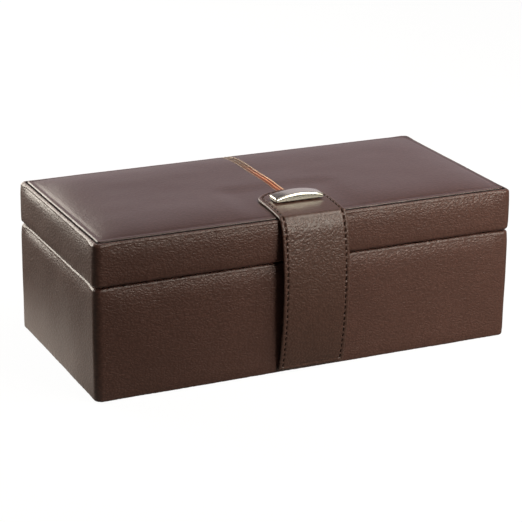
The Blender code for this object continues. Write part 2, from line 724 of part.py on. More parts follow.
def flap_outline():
    """Side view of the flap in front, with a round end about the fold's axis."""
    inner = bend_points(STRAP_FOLD_ANGLE, STRAP_BEND_END)
    drop = STRAP_FLAP_TOP_Z - STRAP_FLOOR_GAP
    for step in range(1, STRAP_SEGMENTS + 1):
        z = STRAP_FLAP_TOP_Z - drop * step / STRAP_SEGMENTS
        inner.append(Vector((-HALF_DEPTH - strap_standoff(z), z)))
    outer = thickened(inner)
    cap = []
    for step in range(BEND_SEGMENTS + 1):
        angle = STRAP_FOLD_ANGLE - math.pi * step / BEND_SEGMENTS
        radius = STRAP_THICKNESS / 2
        cap.append(STRAP_AXIS.yz + Vector((math.cos(angle), math.sin(angle))) * radius)
    return inner[1:] + outer[:0:-1] + cap


def tip_outline():
    """Plan of the tab: straight sides and a flattened round tip."""
    half = STRAP_WIDTH / 2
    front_y = STRAP_BEND_Y - STRAP_BEND_RADIUS - STRAP_THICKNESS - OVERRUN
    shoulder_y = STRAP_TIP_Y - STRAP_TIP_LENGTH
    points = [(-half, front_y), (half, front_y)]
    for step in range(TIP_SEGMENTS + 1):
        angle = math.pi * step / TIP_SEGMENTS
        points.append((half * math.cos(angle), shoulder_y + STRAP_TIP_LENGTH * math.sin(angle)))
    return points


def build_strap():
    """The stitched tab on the lid and the flap that hangs from its fold."""
    tab = add_part(
        "strap_tab", outline_solid(tab_outline(), STRAP_WIDTH + 2 * OVERRUN, TURN_YZ),
        STRAP_FINISH, LID,
    )
    plan = outline_solid(tip_outline(), BOX_HEIGHT, Matrix.Translation((0, 0, BOX_HEIGHT)))
    combine(tab, add_tool("strap_plan", plan, LID), "INTERSECT")
    flap = add_part(
        "strap_flap", outline_solid(flap_outline(), STRAP_WIDTH, TURN_YZ), STRAP_FINISH, STRAP,
    )
    return smooth(tab), smooth(flap)


def build_magnets(flap, wrap, board):
    """A disc in the back of the flap and one in the front of the base."""
    outward = Vector((0, -1, -strap_slope(MAGNET_HEIGHT))).normalized()
    face = Vector((0, -HALF_DEPTH - strap_standoff(MAGNET_HEIGHT), MAGNET_HEIGHT))
    end = face + outward * STRAP_MAGNET_THICKNESS
    add_part("strap_magnet", cylinder(MAGNET_RADIUS, face, end), STEEL_FINISH, STRAP, (face + end) / 2)
    pocket_radius = MAGNET_RADIUS + FIT_GAP
    pocket = cylinder(pocket_radius, face - outward * OVERRUN, end + outward * FIT_GAP)
    combine(flap, add_tool("strap_magnet_pocket", pocket, STRAP), "DIFFERENCE")

    face = Vector((0, -HALF_DEPTH, MAGNET_HEIGHT))
    inward = Vector((0, 1, 0))
    end = face + inward * BASE_MAGNET_THICKNESS
    add_part("base_magnet", cylinder(MAGNET_RADIUS, face, end), STEEL_FINISH, BASE, (face + end) / 2)
    pocket = cylinder(pocket_radius, face - inward * OVERRUN, end + inward * FIT_GAP)
    tool = add_tool("base_magnet_pocket", pocket, BASE)
    combine(wrap, tool, "DIFFERENCE")
    combine(board, tool, "DIFFERENCE")


# Bar

def bar_outline():
    """Front view of the bar: flat under, square ends and an arched top."""
    half = BAR_LENGTH / 2
    rise = BAR_MIDDLE_HEIGHT - BAR_END_HEIGHT
    radius = (half ** 2 + rise ** 2) / (2 * rise)
    spread = math.asin(half / radius)
    points = [(-half, 0), (half, 0)]
    for step in range(BAR_SEGMENTS + 1):
        angle = spread * (1 - 2 * step / BAR_SEGMENTS)
        height = BAR_MIDDLE_HEIGHT - radius * (1 - math.cos(angle))
        points.append((radius * math.sin(angle), height))
    return points


def build_bar(board, layers):
    """The metal bar, its two posts through the lid and the nuts that hold it."""
    bm = outline_solid(bar_outline(), BAR_DEPTH, TURN_XZ)
    bmesh.ops.translate(bm, vec=(0, BAR_Y, BAR_SEAT_Z), verts=bm.verts)
    sharp = math.radians(30)
    round_edges(bm, BAR_BEVEL, BAR_BEVEL_SEGMENTS, lambda edge: edge.calc_face_angle(0) > sharp)
    bar = add_part("strap_bar", bm, CHROME_FINISH, LID, (0, BAR_Y, BAR_SEAT_Z))
    nut_top_z = TOP_BOARD_Z + NUT_HEIGHT
    for label, side in (("left", -1), ("right", 1)):
        place = Vector((side * BAR_POST_SPREAD, BAR_Y, 0))
        low = place + Vector((0, 0, TOP_BOARD_Z))
        high = place + Vector((0, 0, BAR_SEAT_Z + BAR_END_HEIGHT / 2))
        post = add_tool("bar_post_" + label, cylinder(BAR_POST_RADIUS, low, high), LID)
        combine(bar, post, "UNION")
        collar = cylinder(BAR_COLLAR_RADIUS, place + Vector((0, 0, BAR_COLLAR_Z)), high)
        combine(bar, add_tool("bar_collar_" + label, collar, LID), "UNION")
        past = Vector((0, 0, OVERRUN))
        bore = cylinder(BAR_POST_RADIUS + FIT_GAP, low - past, high + past)
        bore = add_tool("bar_post_bore_" + label, bore, LID)
        for layer in layers:
            if not layer.name.startswith("lid_top_leather") or layer.name.endswith(label):
                combine(layer, bore, "DIFFERENCE")
        combine(board, bore, "DIFFERENCE")
        nut_top = Vector((place.x, place.y, nut_top_z))
        nut_gap = Vector((0, 0, FIT_GAP))
        nut = add_part(
            "bar_nut_" + label, cylinder(NUT_RADIUS, low, nut_top, segments=NUT_SIDES), STEEL_FINISH, LID,
            (low + nut_top) / 2,
        )
        combine(nut, bore, "DIFFERENCE")
        seat = cylinder(NUT_RADIUS + FIT_GAP, low - past, nut_top + nut_gap)
        combine(board, add_tool("bar_nut_seat_" + label, seat, LID), "DIFFERENCE")
    return bar


# Hinges

def knuckle_spans(centre):
    """Start and end along X of each knuckle of one hinge."""
    length = (HINGE_LENGTH - (HINGE_KNUCKLES - 1) * FIT_GAP) / HINGE_KNUCKLES
    start = centre - HINGE_LENGTH / 2
    spans = []
    for index in range(HINGE_KNUCKLES):
        low = start + index * (length + FIT_GAP)
        spans.append((low, low + length))
    return spans


def barrel_piece(radius, start, end):
    """A cylinder on the hinge line between two places along X."""
    return cylinder(radius, (start, HINGE_Y, PARTING_Z), (end, HINGE_Y, PARTING_Z))


def hinge_leaf(name, centre, low_z, high_z, own, other, carrier):
    """A flat leaf let into the rim leather, with its share of the knuckles."""
    half = HINGE_LENGTH / 2
    plate = box(
        (centre - half, CAVITY_HALF_DEPTH + FIT_GAP, low_z), (centre + half, HINGE_Y, high_z),
    )
    leaf = add_part(name, plate, BRASS_FINISH, carrier, (centre, HINGE_Y, PARTING_Z))
    for index, (start, end) in enumerate(other):
        room = barrel_piece(HINGE_BARREL_RADIUS + FIT_GAP, start - FIT_GAP, end + FIT_GAP)
        combine(leaf, add_tool(name + "_room_" + str(index), room, carrier), "DIFFERENCE")
    for index, (start, end) in enumerate(own):
        knuckle = barrel_piece(HINGE_BARREL_RADIUS, start, end)
        combine(leaf, add_tool(name + "_knuckle_" + str(index), knuckle, carrier), "UNION")
    bore = barrel_piece(HINGE_PIN_RADIUS + FIT_GAP, centre - half - OVERRUN, centre + half + OVERRUN)
    combine(leaf, add_tool(name + "_bore", bore, carrier), "DIFFERENCE")
    return smooth(leaf)


def hinge_pin(name, centre):
    """A pin turned with a head at each end, lying along the hinge line."""
    neck = HINGE_LENGTH / 2 + FIT_GAP
    end = neck + PIN_HEAD_LENGTH
    upper = [
        (0, end), (PIN_HEAD_RADIUS / 2, end), (PIN_HEAD_RADIUS, (neck + end) / 2),
        (PIN_HEAD_RADIUS, neck), (HINGE_PIN_RADIUS, neck),
    ]
    lower = [(radius, -height) for radius, height in reversed(upper)]
    mesh = bpy.data.meshes.new(name)
    points = [(radius, 0, height) for radius, height in upper + lower]
    mesh.from_pydata(points, [(index, index + 1) for index in range(len(points) - 1)], [])
    mesh.materials.append(BRASS_FINISH)
    pin = bpy.data.objects.new(name, mesh)
    PARTS.objects.link(pin)
    pin.parent = BASE
    pin.location = (centre, HINGE_Y, PARTING_Z)
    pin.rotation_euler = (0, math.pi / 2, 0)
    screw = pin.modifiers.new("turn", "SCREW")
    screw.steps = ROUND_SEGMENTS
    screw.render_steps = ROUND_SEGMENTS
    screw.use_merge_vertices = True
    screw.merge_threshold = TINY
    return pin


def build_hinges():
    """Two butt hinges on the back rim."""
    for label, side in (("left", -1), ("right", 1)):
        centre = side * HINGE_X
        spans = knuckle_spans(centre)
        base_spans, lid_spans = spans[0::2], spans[1::2]
        prefix = "hinge_" + label
        hinge_leaf(
            prefix + "_base_leaf", centre, BASE_RIM_Z - HINGE_LEAF, BASE_RIM_Z,
            base_spans, lid_spans, BASE,
        )
        hinge_leaf(
            prefix + "_lid_leaf", centre, LID_RIM_Z, LID_RIM_Z + HINGE_LEAF,
            lid_spans, base_spans, LID,
        )
        hinge_pin(prefix + "_pin", centre)


def build_box():
    """The whole box."""
    base_wrap, front_board = build_base()
    build_dividers()
    build_pillows()
    top_board, foam, left, right = build_lid()
    tab, flap = build_strap()
    build_magnets(flap, base_wrap, front_board)
    build_bar(top_board, (tab, left, right, foam))
    build_hinges()


build_box()
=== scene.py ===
"""Looks of the watch and cufflink box: leather, stitching, metal, suede and felt."""

import math

import bmesh
import bpy
import numpy as np
from mathutils import Matrix, Vector


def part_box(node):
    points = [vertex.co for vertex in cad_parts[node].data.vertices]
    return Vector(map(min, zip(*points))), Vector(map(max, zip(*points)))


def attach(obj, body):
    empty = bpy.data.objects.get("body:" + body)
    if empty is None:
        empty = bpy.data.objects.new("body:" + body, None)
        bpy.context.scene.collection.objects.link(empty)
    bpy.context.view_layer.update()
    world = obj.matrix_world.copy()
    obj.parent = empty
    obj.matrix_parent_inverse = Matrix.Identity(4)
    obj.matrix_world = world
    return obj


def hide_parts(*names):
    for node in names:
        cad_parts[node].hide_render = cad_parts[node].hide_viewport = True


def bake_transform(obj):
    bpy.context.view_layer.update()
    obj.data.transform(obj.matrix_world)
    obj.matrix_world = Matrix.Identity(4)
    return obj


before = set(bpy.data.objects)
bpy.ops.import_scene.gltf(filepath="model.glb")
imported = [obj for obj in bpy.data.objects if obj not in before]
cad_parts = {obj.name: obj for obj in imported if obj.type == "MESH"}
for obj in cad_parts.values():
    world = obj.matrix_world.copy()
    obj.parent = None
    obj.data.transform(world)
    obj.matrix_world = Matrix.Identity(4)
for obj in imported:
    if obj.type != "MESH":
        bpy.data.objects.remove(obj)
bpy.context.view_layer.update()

X, Y, Z = range(3)
MM = 0.001

# The photograph's width and the camera's focal length in pixels, and the camera's place and turn
PHOTO_WIDTH = 522
FOCAL_PIXELS = 1950
SENSOR_WIDTH = 36
CAMERA_PLACE = Vector((-0.537435, -1.143205, 0.500001))
CAMERA_RIGHT = Vector((0.90728, -0.42038, 0.01135))
CAMERA_UP = Vector((0.13099, 0.30817, 0.94227))
CAMERA_BACK = Vector((-0.39961, -0.85341, 0.33466))

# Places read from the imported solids
BASE_LOW, BASE_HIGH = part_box("base_leather_wrap")
LID_LOW, LID_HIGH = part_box("lid_leather_skirt")
PANEL_LOW, PANEL_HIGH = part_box("lid_top_leather_left")
TAB_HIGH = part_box("strap_tab")[1]
BAR_LOW, BAR_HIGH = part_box("strap_bar")
PILLOW_LOW, PILLOW_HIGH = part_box("watch_pillow_1")
PAD_LOW, PAD_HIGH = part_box("lid_lining_pad")
HALF_LENGTH = BASE_HIGH.x
HALF_DEPTH = BASE_HIGH.y
PANEL_HALF_LENGTH = -PANEL_LOW.x
PANEL_HALF_DEPTH = PANEL_HIGH.y

# Leather of the box: rolled rims, and walls that swell and sink towards them
GAP = 0.3 * MM
LEATHER = 1.2 * MM
CORNER_RADIUS = 4.6 * MM
RIM_RADIUS = 2.6 * MM
RIM_END_DEGREES = 24
FOOT_END_DEGREES = 9
FOOT_RADIUS = 1.5 * MM
RIM_LIP = 6.5 * MM
FRAME_LIP = 2.9 * MM
LIP_TURN = 0.6 * MM
UPPER_LIP_SHARES = (0.0, 0.4, 0.75)
LOWER_LIP_SHARES = (0.3, 0.65, 1.0)
LIP_CALM = 0.9
TINY_RADIUS = 0.05 * MM
WALL_SWELL = 0.7 * MM
PUFF = 1.55 * MM
PUFF_REACH = 17 * MM
LEFT_PUFF = 1.85 * MM
LEFT_PUFF_REACH = 10 * MM
FOOT_PUFF = 0.45 * MM
FOOT_PUFF_REACH = 6 * MM
CORNER_FADE = 14 * MM
CORNER_PUFF_SHARE = 0.3
MOST_SUNK = 1.15 * MM
FOOT_HALF_WIDTH = 27 * MM
FOOT_HEIGHT = 6 * MM
FOOT_FADE = 22 * MM
RING_STEP = 0.9 * MM
CORNER_STEPS = 8
ROLL_STEPS = 6
WALL_ROWS = 17
WALL_CROWDING = 1.7

# Where the leather's grain is flatter, and how deep it still is there
END_WALL_BAND = (4 * MM, 1 * MM)
END_WALL_GRAIN = 0.65
TAB_FADE = 2 * MM
TAB_GRAIN = 0.25

# Ripples by wavelength and height, and gathers by pitch, depth, width and reach
WALL_RIPPLES = (34 * MM, 0.10 * MM)
PANEL_RIPPLES = (62 * MM, 0.16 * MM)
PANEL_FINE_RIPPLES = (17 * MM, 0.035 * MM)
STRAP_RIPPLES = (22 * MM, 0.06 * MM)
PAD_RIPPLES = (40 * MM, 0.10 * MM)
RIM_GATHERS = (3.2 * MM, 0.24 * MM, 0.8 * MM, 3.4 * MM)
FOOT_GATHERS = (3.2 * MM, 0.16 * MM, 0.8 * MM, 3.4 * MM)
WELT_GATHERS = (4.5 * MM, 0.38 * MM, 0.9 * MM, 4.5 * MM)
PAD_GATHERS = (5.5 * MM, 0.22 * MM, 1.1 * MM, 5 * MM)

# Room for the hinge leaves in the rims, their screws, and the magnets under the leather
HINGE_PLACES = (-95 * MM, 95 * MM)
NOTCH_HALF_LENGTH = 15.3 * MM
NOTCH_DEPTH = 1.5 * MM
NOTCH_MARGIN = 1 * MM
NOTCH_REACH = 5 * MM
SCREW_SPREAD = 10 * MM
SCREW_RADIUS = 1.6 * MM
SCREW_INSET = RIM_LIP - 2.9 * MM
SCREW_LEVELS = ((-0.1 * MM, 1.0), (0.08 * MM, 1.0), (0.18 * MM, 0.86))
SCREW_STEPS = 13
SLOT_ANGLE = 0.13
MAGNET_Z = 11.2 * MM
MAGNET_COVER = 0.3 * MM
MAGNET_REACH = 5.2 * MM
MAGNET_FADE = 3 * MM
MAGNET_BAND = 3 * MM

# The padded panel in the lid, and the groove round it
PANEL_EDGE_Z = LID_HIGH.z + 0.5 * MM
PANEL_EDGE_RADIUS = 1.1 * MM
PANEL_INSET = HALF_DEPTH - PANEL_HALF_DEPTH
PANEL_CORNER_RADIUS = 2.2 * MM
CROWN_MARGIN = 50 * MM
CROWN_POWER = 3.5
CROWN_HEIGHT = PANEL_HIGH.z - PANEL_EDGE_Z
PRESSED_SHARE = 0.30
PRESSED_HALF_WIDTH = 30 * MM
PRESSED_BACK_Y = -20 * MM
PRESSED_FADE = 18 * MM
PANEL_LEVEL_MARGIN = 10 * MM
GROOVE_WIDTH = 0.35 * MM
GROOVE_TOP = 0.2 * MM
FRAME_GROOVE_WIDTH = 0.15 * MM
FRAME_GROOVE_DEPTH = 4 * MM
# Bumps: how far each rises, where it lies and how wide it is
PANEL_EDGE_BUMPS = ((0.22 * MM, 0, 0.7 * MM), (-0.20 * MM, 2.0 * MM, 0.8 * MM))
SEAM_BUMPS = ((-0.15 * MM, 0.55 * MM, 3.2 * MM),)
# Grid lines beside the seam, and near an edge as shares of a length
SEAM_CUTS = [value * MM for value in (0.22, 0.5, 0.8, 1.15, 1.5, 1.9, 2.5, 3.3, 4.4)]
EDGE_CUT_SHARES = (0, 0.18, 0.36, 0.6, 1.0, 1.5, 2.1, 2.9, 4.0)
LEAST_STEP_SHARE = 0.6
PANEL_STEPS = (2.6 * MM, 2.2 * MM)
SEAM_STATIONS = 260
SEAM_UNDER_TAB = 2 * MM
PANEL_EDGE_CUT = 2.4 * MM

# The strap
STRAP_HALF_WIDTH = TAB_HIGH.x
STRAP_THICKNESS = 2.0 * MM
STRAP_FACE = STRAP_THICKNESS - 0.15 * MM
STRAP_BEND_RADIUS = 1.5 * MM
STRAP_EASED_RADIUS = 24 * MM
STRAP_BEND_START = math.radians(98)
STRAP_BEND_TURN = math.radians(145)
STRAP_BEND_END = math.radians(170)
STRAP_LEVEL_RUN = 4.0 * MM
STRAP_STANDOFF = 3.7 * MM
STRAP_BOW = 5.1 * MM
STRAP_FLOOR_GAP = 3.0 * MM
STRAP_TIP_LENGTH = 16 * MM
STRAP_EDGE_RADIUS = 0.9 * MM
STRAP_EDGE_FADE = 4 * MM
STRAP_CROWN = 0.16 * MM
STRAP_CROWN_REACH = 8 * MM
STRAP_CUTS = [value * MM for value in (0, 0.35, 0.8, 1.25, 1.7, 2.1, 2.4, 2.7, 3.0, 3.3, 3.8, 4.6)]
STRAP_STEP = 0.6 * MM
STRAP_EVEN_START = 5.2 * MM
STRAP_EVEN_END = 5 * MM
STRAP_ROLL_STEPS = 10
TAB_STEPS, BEND_STEPS, FLAP_STEPS = 120, 30, 200
STRAP_COLUMNS = 26
STITCH_INSET = 2.7 * MM
STITCH_PITCH = 4.0 * MM
STITCH_LENGTH = 2.9 * MM
STITCH_DEPTH = 0.45 * MM
STITCH_SLANT = math.radians(9)
STITCH_END = 2.0 * MM
THREAD_RADIUS = 0.43 * MM
THREAD_SUNK = 0.24 * MM
THREAD_TAPER = 5
THREAD_END_SHARE = 0.04
THREAD_DIP = 1.3
HEADING_STEP = 0.2 * MM
STRAP_BUMPS = ((-0.12 * MM, STITCH_INSET, 0.75 * MM), (0.18 * MM, 1.45 * MM, 0.7 * MM))
HOLE_WIDTH = 0.55 * MM
HOLE_FADE = 0.6 * MM
STITCH_PUFF = 0.26 * MM
STITCH_PUFF_WIDTH = 0.9 * MM
STITCH_PUFF_FADE = 0.4 * MM

# The metal bar
BAR_LIFT = 0.2 * MM
BAR_END_HEIGHT = 2.5 * MM
BAR_TOP = BAR_HIGH.z - 0.4 * MM
BAR_FRONT_RADIUS = 1.6 * MM
BAR_FRONT_SHARE = 0.6
BAR_EDGE_RADIUS = 0.45 * MM
BAR_POST_RADIUS = 1.25 * MM
BAR_COLLAR_RADIUS = 2.5 * MM
BAR_POST_SPREAD = 12 * MM
BAR_STATIONS = 121
POST_SIDES = 28

# The watch pillows
PILLOW_VOXEL = 2.6 * MM
PILLOW_START = 0.965
PILLOW_SWELL = 2.0 * MM
PILLOW_PRESSURE = 4
PILLOW_FRAMES = 20
PILLOW_MARGIN = 0.05 * MM
WELT_INSET = 4.5 * MM
WELT_RADIUS = 0.65 * MM
WELT_PROUD = 0.2 * MM
WELT_GROOVE = 0.55 * MM
WELT_GROOVE_WIDTH = 1.5 * MM
WELT_BAND = 1.6 * MM
WELT_SIDES = 8
WELT_STATIONS = 120
GATHERS_ROUND_PILLOW = 220 * MM

# The padded panel under the lid's top board
PAD_STEP = 3.2 * MM
PAD_EDGE_CUT = 2.6 * MM
PAD_CORNER_RADIUS = 2.5 * MM
PAD_CROWN_REACH = 16 * MM
PAD_CROWN_POWER = 2.6
PAD_LEVEL_MARGIN = 8 * MM
PAD_EDGE_SHARE, PAD_CROWN_SHARE = 0.25, 0.70
PAD_LEAST = 0.1 * MM


# Numbers that vary over a surface

def ripples(points, wavelength, height, seed, count=7):
    """Gentle unevenness: waves of about one length in all directions."""
    random = np.random.default_rng(seed)
    total = np.zeros(points.shape[:-1])
    for _ in range(count):
        direction = random.normal(size=3)
        direction /= np.linalg.norm(direction)
        turns = 2 * math.pi / (wavelength * random.uniform(0.7, 1.5))
        total += np.sin(points @ direction * turns + random.uniform(0, 2 * math.pi))
    return total * height / math.sqrt(count)


def level_ripples(x, y, waves, seed):
    """Gentle unevenness of a sheet over its flat places."""
    return ripples(np.stack([x, y, np.zeros_like(x)], axis=-1), *waves, seed)


def gathers(along, across, total, pitch, depth, width, reach, seed):
    """Small creases that cross a rolled edge, as depths below the surface."""
    random = np.random.default_rng(seed)
    result = np.zeros(np.broadcast(along, across).shape)
    place = 0.0
    while place < total:
        place += pitch * random.uniform(0.4, 1.7)
        strength = depth * random.uniform(0.25, 1.0)
        wide = width * random.uniform(0.7, 1.6)
        long = reach * random.uniform(0.5, 1.5)
        off = along - place - random.uniform(-0.3, 0.3) * across
        result += strength * np.exp(-(off / wide) ** 2 - (across / long) ** 2)
    return result


def bump_at(distance, width):
    """A smooth bump of height one round zero."""
    return np.exp(-(distance / width) ** 2)


def bumped(height, distance, bumps):
    """A height with smooth bumps added to it, each with its rise, place and width."""
    for rise, place, width in bumps:
        height = height + rise * bump_at(distance - place, width)
    return height


def eased(share):
    """A smooth step from 0 to 1."""
    share = np.clip(share, 0, 1)
    return share * share * (3 - 2 * share)


def lengths_along(line):
    """How far each point of a line lies from its start, measured along it."""
    steps = np.linalg.norm(np.diff(line, axis=0), axis=1)
    return np.concatenate([[0.0], np.cumsum(steps)])


# Meshes

def quads(rows, columns, wrap_rows=False, wrap_columns=False):
    """Corner numbers of the faces of a grid of points."""
    row = np.arange(rows if wrap_rows else rows - 1)
    column = np.arange(columns if wrap_columns else columns - 1)
    row, column = np.meshgrid(row, column, indexing="ij")
    next_row = (row + 1) % rows
    next_column = (column + 1) % columns
    corners = [
        row * columns + column, row * columns + next_column,
        next_row * columns + next_column, next_row * columns + column,
    ]
    return np.stack(corners, axis=-1).reshape(-1, 4)


def capped_tube(rings, sides):
    """Faces of a tube of rings of points, closed at both ends."""
    ends = [range(sides)[::-1], range(sides * (rings - 1), sides * rings)]
    return [*quads(rings, sides, wrap_columns=True), *ends]


def between(first, second):
    """Faces that join two closed loops of points."""
    return list(zip(first, np.roll(first, -1), np.roll(second, -1), second))


def skirted(top, faces, loop, rows):
    """A sheet's points and rows of points hung from its border, and the numbers of the last row.

    The faces that join the rows are added to the sheet's own."""
    sheets, count = [top], len(top)
    for row in rows:
        numbers = np.arange(count, count + len(row))
        faces += between(loop, numbers)
        sheets.append(row)
        loop = numbers
        count += len(row)
    return np.concatenate(sheets), loop


def linked(name, data):
    """A new object in the scene."""
    piece = bpy.data.objects.new(name, data)
    bpy.context.scene.collection.objects.link(piece)
    return piece


def new_piece(name, points, faces, material, places=None):
    """A smooth mesh object with its faces turned outward.

    Each point also stores where it lies in the leather before that is bent."""
    points = np.asarray(points, float).reshape(-1, 3)
    mesh = bpy.data.meshes.new(name)
    mesh.from_pydata(points.tolist(), [], [list(map(int, face)) for face in faces])
    places = points if places is None else np.asarray(places, float).reshape(-1, 3)
    store = mesh.attributes.new("leather_place", "FLOAT_VECTOR", "POINT")
    store.data.foreach_set("vector", places.astype(np.float32).ravel())
    bm = bmesh.new()
    bm.from_mesh(mesh)
    bmesh.ops.recalc_face_normals(bm, faces=bm.faces)
    bm.to_mesh(mesh)
    bm.free()
    mesh.shade_smooth()
    mesh.materials.append(material)
    return linked(name, mesh)


# Materials. A texture's fineness is a count per metre.

class Nodes:
    """A short way to add and join the shader nodes of a material or the world."""

    def __init__(self, owner):
        self.owner = owner
        owner.use_nodes = True
        self.tree = owner.node_tree

    def set(self, socket, value):
        if isinstance(value, bpy.types.NodeSocket):
            self.tree.links.new(value, socket)
        elif socket.type == "RGBA":
            socket.default_value = (*value, 1)
        else:
            socket.default_value = value

    def add(self, kind, *values, inputs=(), **settings):
        node = self.tree.nodes.new("ShaderNode" + kind)
        for key, value in settings.items():
            setattr(node, key, value)
        for socket, value in zip(node.inputs, values):
            self.set(socket, value)
        for key in inputs:
            self.set(node.inputs[key], inputs[key])
        return node

    def math(self, operation, *values):
        return self.add("Math", *values, operation=operation).outputs[0]

    def scaled(self, vector, factors):
        factors = factors if isinstance(factors, tuple) else (factors,) * 3
        return self.add("VectorMath", vector, factors, operation="MULTIPLY").outputs[0]

    def noise(self, place, fineness, detail=2.0, roughness=0.5, output="Fac"):
        vector = self.scaled(place, fineness)
        inputs = {"Vector": vector, "Scale": 1.0, "Detail": detail, "Roughness": roughness}
        return self.add("TexNoise", inputs=inputs).outputs[output]

    def ranged(self, value, low, high, to_low=0.0, to_high=1.0, smooth=False):
        kind = "SMOOTHSTEP" if smooth else "LINEAR"
        return self.add("MapRange", value, low, high, to_low, to_high, interpolation_type=kind).outputs[0]

    def blend(self, factor, first, second):
        node = self.add("Mix", inputs={"Factor": factor}, data_type="RGBA")
        self.set(node.inputs[6], first)
        self.set(node.inputs[7], second)
        return node.outputs[2]

    def finish(self, colour, roughness, height, depth, **sockets):
        bump = self.add("Bump", inputs={"Height": height, "Distance": depth, "Strength": 1.0})
        sockets = {"Base_Color": colour, "Roughness": roughness, "Normal": bump.outputs[0], **sockets}
        for key, value in sockets.items():
            self.set(self.tree.nodes["Principled BSDF"].inputs[key.replace("_", " ")], value)
        return self.owner


def surface(name):
    """The nodes of a new material, and the places on the object it is for."""
    nodes = Nodes(bpy.data.materials.new(name))
    return nodes, nodes.add("TexCoord").outputs["Object"]


def leather(name, dark, light, grain, depth, roughness, stretch, folded=1.0, ior=1.42, smooth_from=None):
    """Full grain leather: soft pebbles, fine pores, long creases, an uneven dye and painted shade in the
    valleys between the pebbles.

    The grain is flatter on the end walls, or above the height smooth_from of the stored places."""
    nodes = Nodes(bpy.data.materials.new(name))
    place = nodes.add("Attribute", attribute_name="leather_place").outputs["Vector"]
    size = 1 / grain
    warp = nodes.noise(place, 0.45 * size, 1.0, output="Color")
    long = nodes.scaled(place, (size / stretch, size / stretch, size))
    pushed = nodes.add("VectorMath", warp, (0.9, 0.9, 0.9), long, operation="MULTIPLY_ADD").outputs[0]
    cells = nodes.add(
        "TexVoronoi", inputs={"Vector": pushed, "Scale": 1.0, "Smoothness": 0.35}, feature="SMOOTH_F1",
    ).outputs["Distance"]
    pebble = nodes.ranged(cells, 0.0, 0.85, 1.0, 0.0, smooth=True)
    pores = nodes.noise(place, 2.6 * size)
    folds = nodes.noise(pushed, (0.42, 0.42, 0.60))
    height = nodes.math("MULTIPLY_ADD", pores, 0.15, pebble)
    height = nodes.math("MULTIPLY_ADD", folds, folded, height)
    dye = nodes.noise(place, 28.0, 3.0, 0.6)
    tone = nodes.blend(nodes.ranged(dye, 0.3, 0.7), dark, light)
    # Painted shade: the valleys between the pebbles are coloured darker than the pebbles
    groove = tuple(0.86 * value for value in dark)
    colour = nodes.blend(nodes.ranged(pebble, 0.0, 0.7), groove, tone)
    rough = nodes.ranged(pores, 0.3, 0.7, roughness - 0.04, roughness + 0.06)
    parts = nodes.add("SeparateXYZ", place).outputs
    if smooth_from is None:
        band = (HALF_LENGTH - inset for inset in END_WALL_BAND)
        depth = nodes.ranged(nodes.math("ABSOLUTE", parts["X"]), *band, depth, END_WALL_GRAIN * depth)
    else:
        band = (smooth_from - TAB_FADE, smooth_from + TAB_FADE)
        depth = nodes.ranged(parts["Z"], *band, depth, TAB_GRAIN * depth)
    return nodes.finish(colour, rough, height, depth, IOR=ior)


def thread(name, colour, lighter):
    """Waxed sewing thread with its twist."""
    nodes, place = surface(name)
    inputs = {"Vector": nodes.scaled(place, 1000.0), "Scale": 0.8, "Distortion": 2.0}
    twist = nodes.add("TexWave", inputs=inputs).outputs["Fac"]
    shade = nodes.blend(nodes.ranged(twist, 0.2, 0.8), colour, lighter)
    return nodes.finish(shade, 0.8, twist, 0.05 * MM, IOR=1.2)


def seam_painted_by_light(name, far, near, hollow=(0.03, 0.012, 0.008)):
    """Seam leather: its colour at the back is the leather's own, and the change to another colour beside the
    strap is painted light and shade.
    """
    nodes, place = surface(name)
    speckle = nodes.noise(place, (1400.0, 420.0, 1400.0), 2.0, 0.6)
    shift = nodes.ranged(speckle, 0.2, 0.8, -0.012, 0.012)
    along = nodes.math("ADD", nodes.add("SeparateXYZ", place).outputs["Y"], shift)
    # Painted light and shade: towards the strap the colour turns to the near one
    colour = nodes.blend(nodes.ranged(along, 0.045, 0.0, smooth=True), far, near)
    darker = nodes.blend(nodes.ranged(speckle, 0.35, 0.65, 0.35, 0.0), colour, hollow)
    return nodes.finish(darker, 0.55, speckle, 0.05 * MM, IOR=1.3)


def chrome(name, dark, light):
    """Polished metal with faint brushing and finger wear."""
    nodes, place = surface(name)
    brush = nodes.noise(place, (30.0, 2400.0, 2400.0), 2.0, 0.6)
    wear = nodes.noise(place, 160.0, 3.0, 0.6)
    colour = nodes.blend(wear, dark, light)
    rough = nodes.math("MULTIPLY_ADD", brush, 0.08, nodes.ranged(wear, 0.3, 0.7, 0.15, 0.21))
    return nodes.finish(colour, rough, brush, 0.0012 * MM, Metallic=1.0)


def suede(name, dark, light):
    """Napped suede: short fibres, brushed patches and a soft sheen."""
    nodes, place = surface(name)
    nap = nodes.noise(place, (2600.0, 1500.0, 2600.0), 3.0, 0.65)
    brushed = nodes.noise(place, (22.0, 34.0, 26.0), 4.0, 0.6)
    fibre = nodes.noise(place, 700.0, 3.0, 0.7)
    tone = nodes.blend(nodes.ranged(brushed, 0.35, 0.65, smooth=True), dark, light)
    hollow = tuple(0.62 * value for value in dark)
    colour = nodes.blend(nodes.ranged(fibre, 0.35, 0.7, 0.0, 0.28), tone, hollow)
    height = nodes.math("MULTIPLY_ADD", fibre, 0.8, nap)
    rough = nodes.ranged(brushed, 0.3, 0.7, 0.86, 0.96)
    return nodes.finish(colour, rough, height, 0.16 * MM, Sheen_Weight=0.35, Sheen_Roughness=0.45, IOR=1.35)


def felt(name, dark, light, fibre):
    """Pressed felt: matted fibres in two tones."""
    nodes, place = surface(name)
    mat = nodes.noise(place, 1500.0, 4.0, 0.75)
    clumps = nodes.noise(place, 260.0, 3.0, 0.6)
    tone = nodes.blend(nodes.ranged(clumps, 0.35, 0.65), dark, light)
    colour = nodes.blend(nodes.ranged(mat, 0.45, 0.75, 0.0, 0.5), tone, fibre)
    return nodes.finish(colour, 0.95, mat, 0.25 * MM, Sheen_Weight=0.2, IOR=1.35)


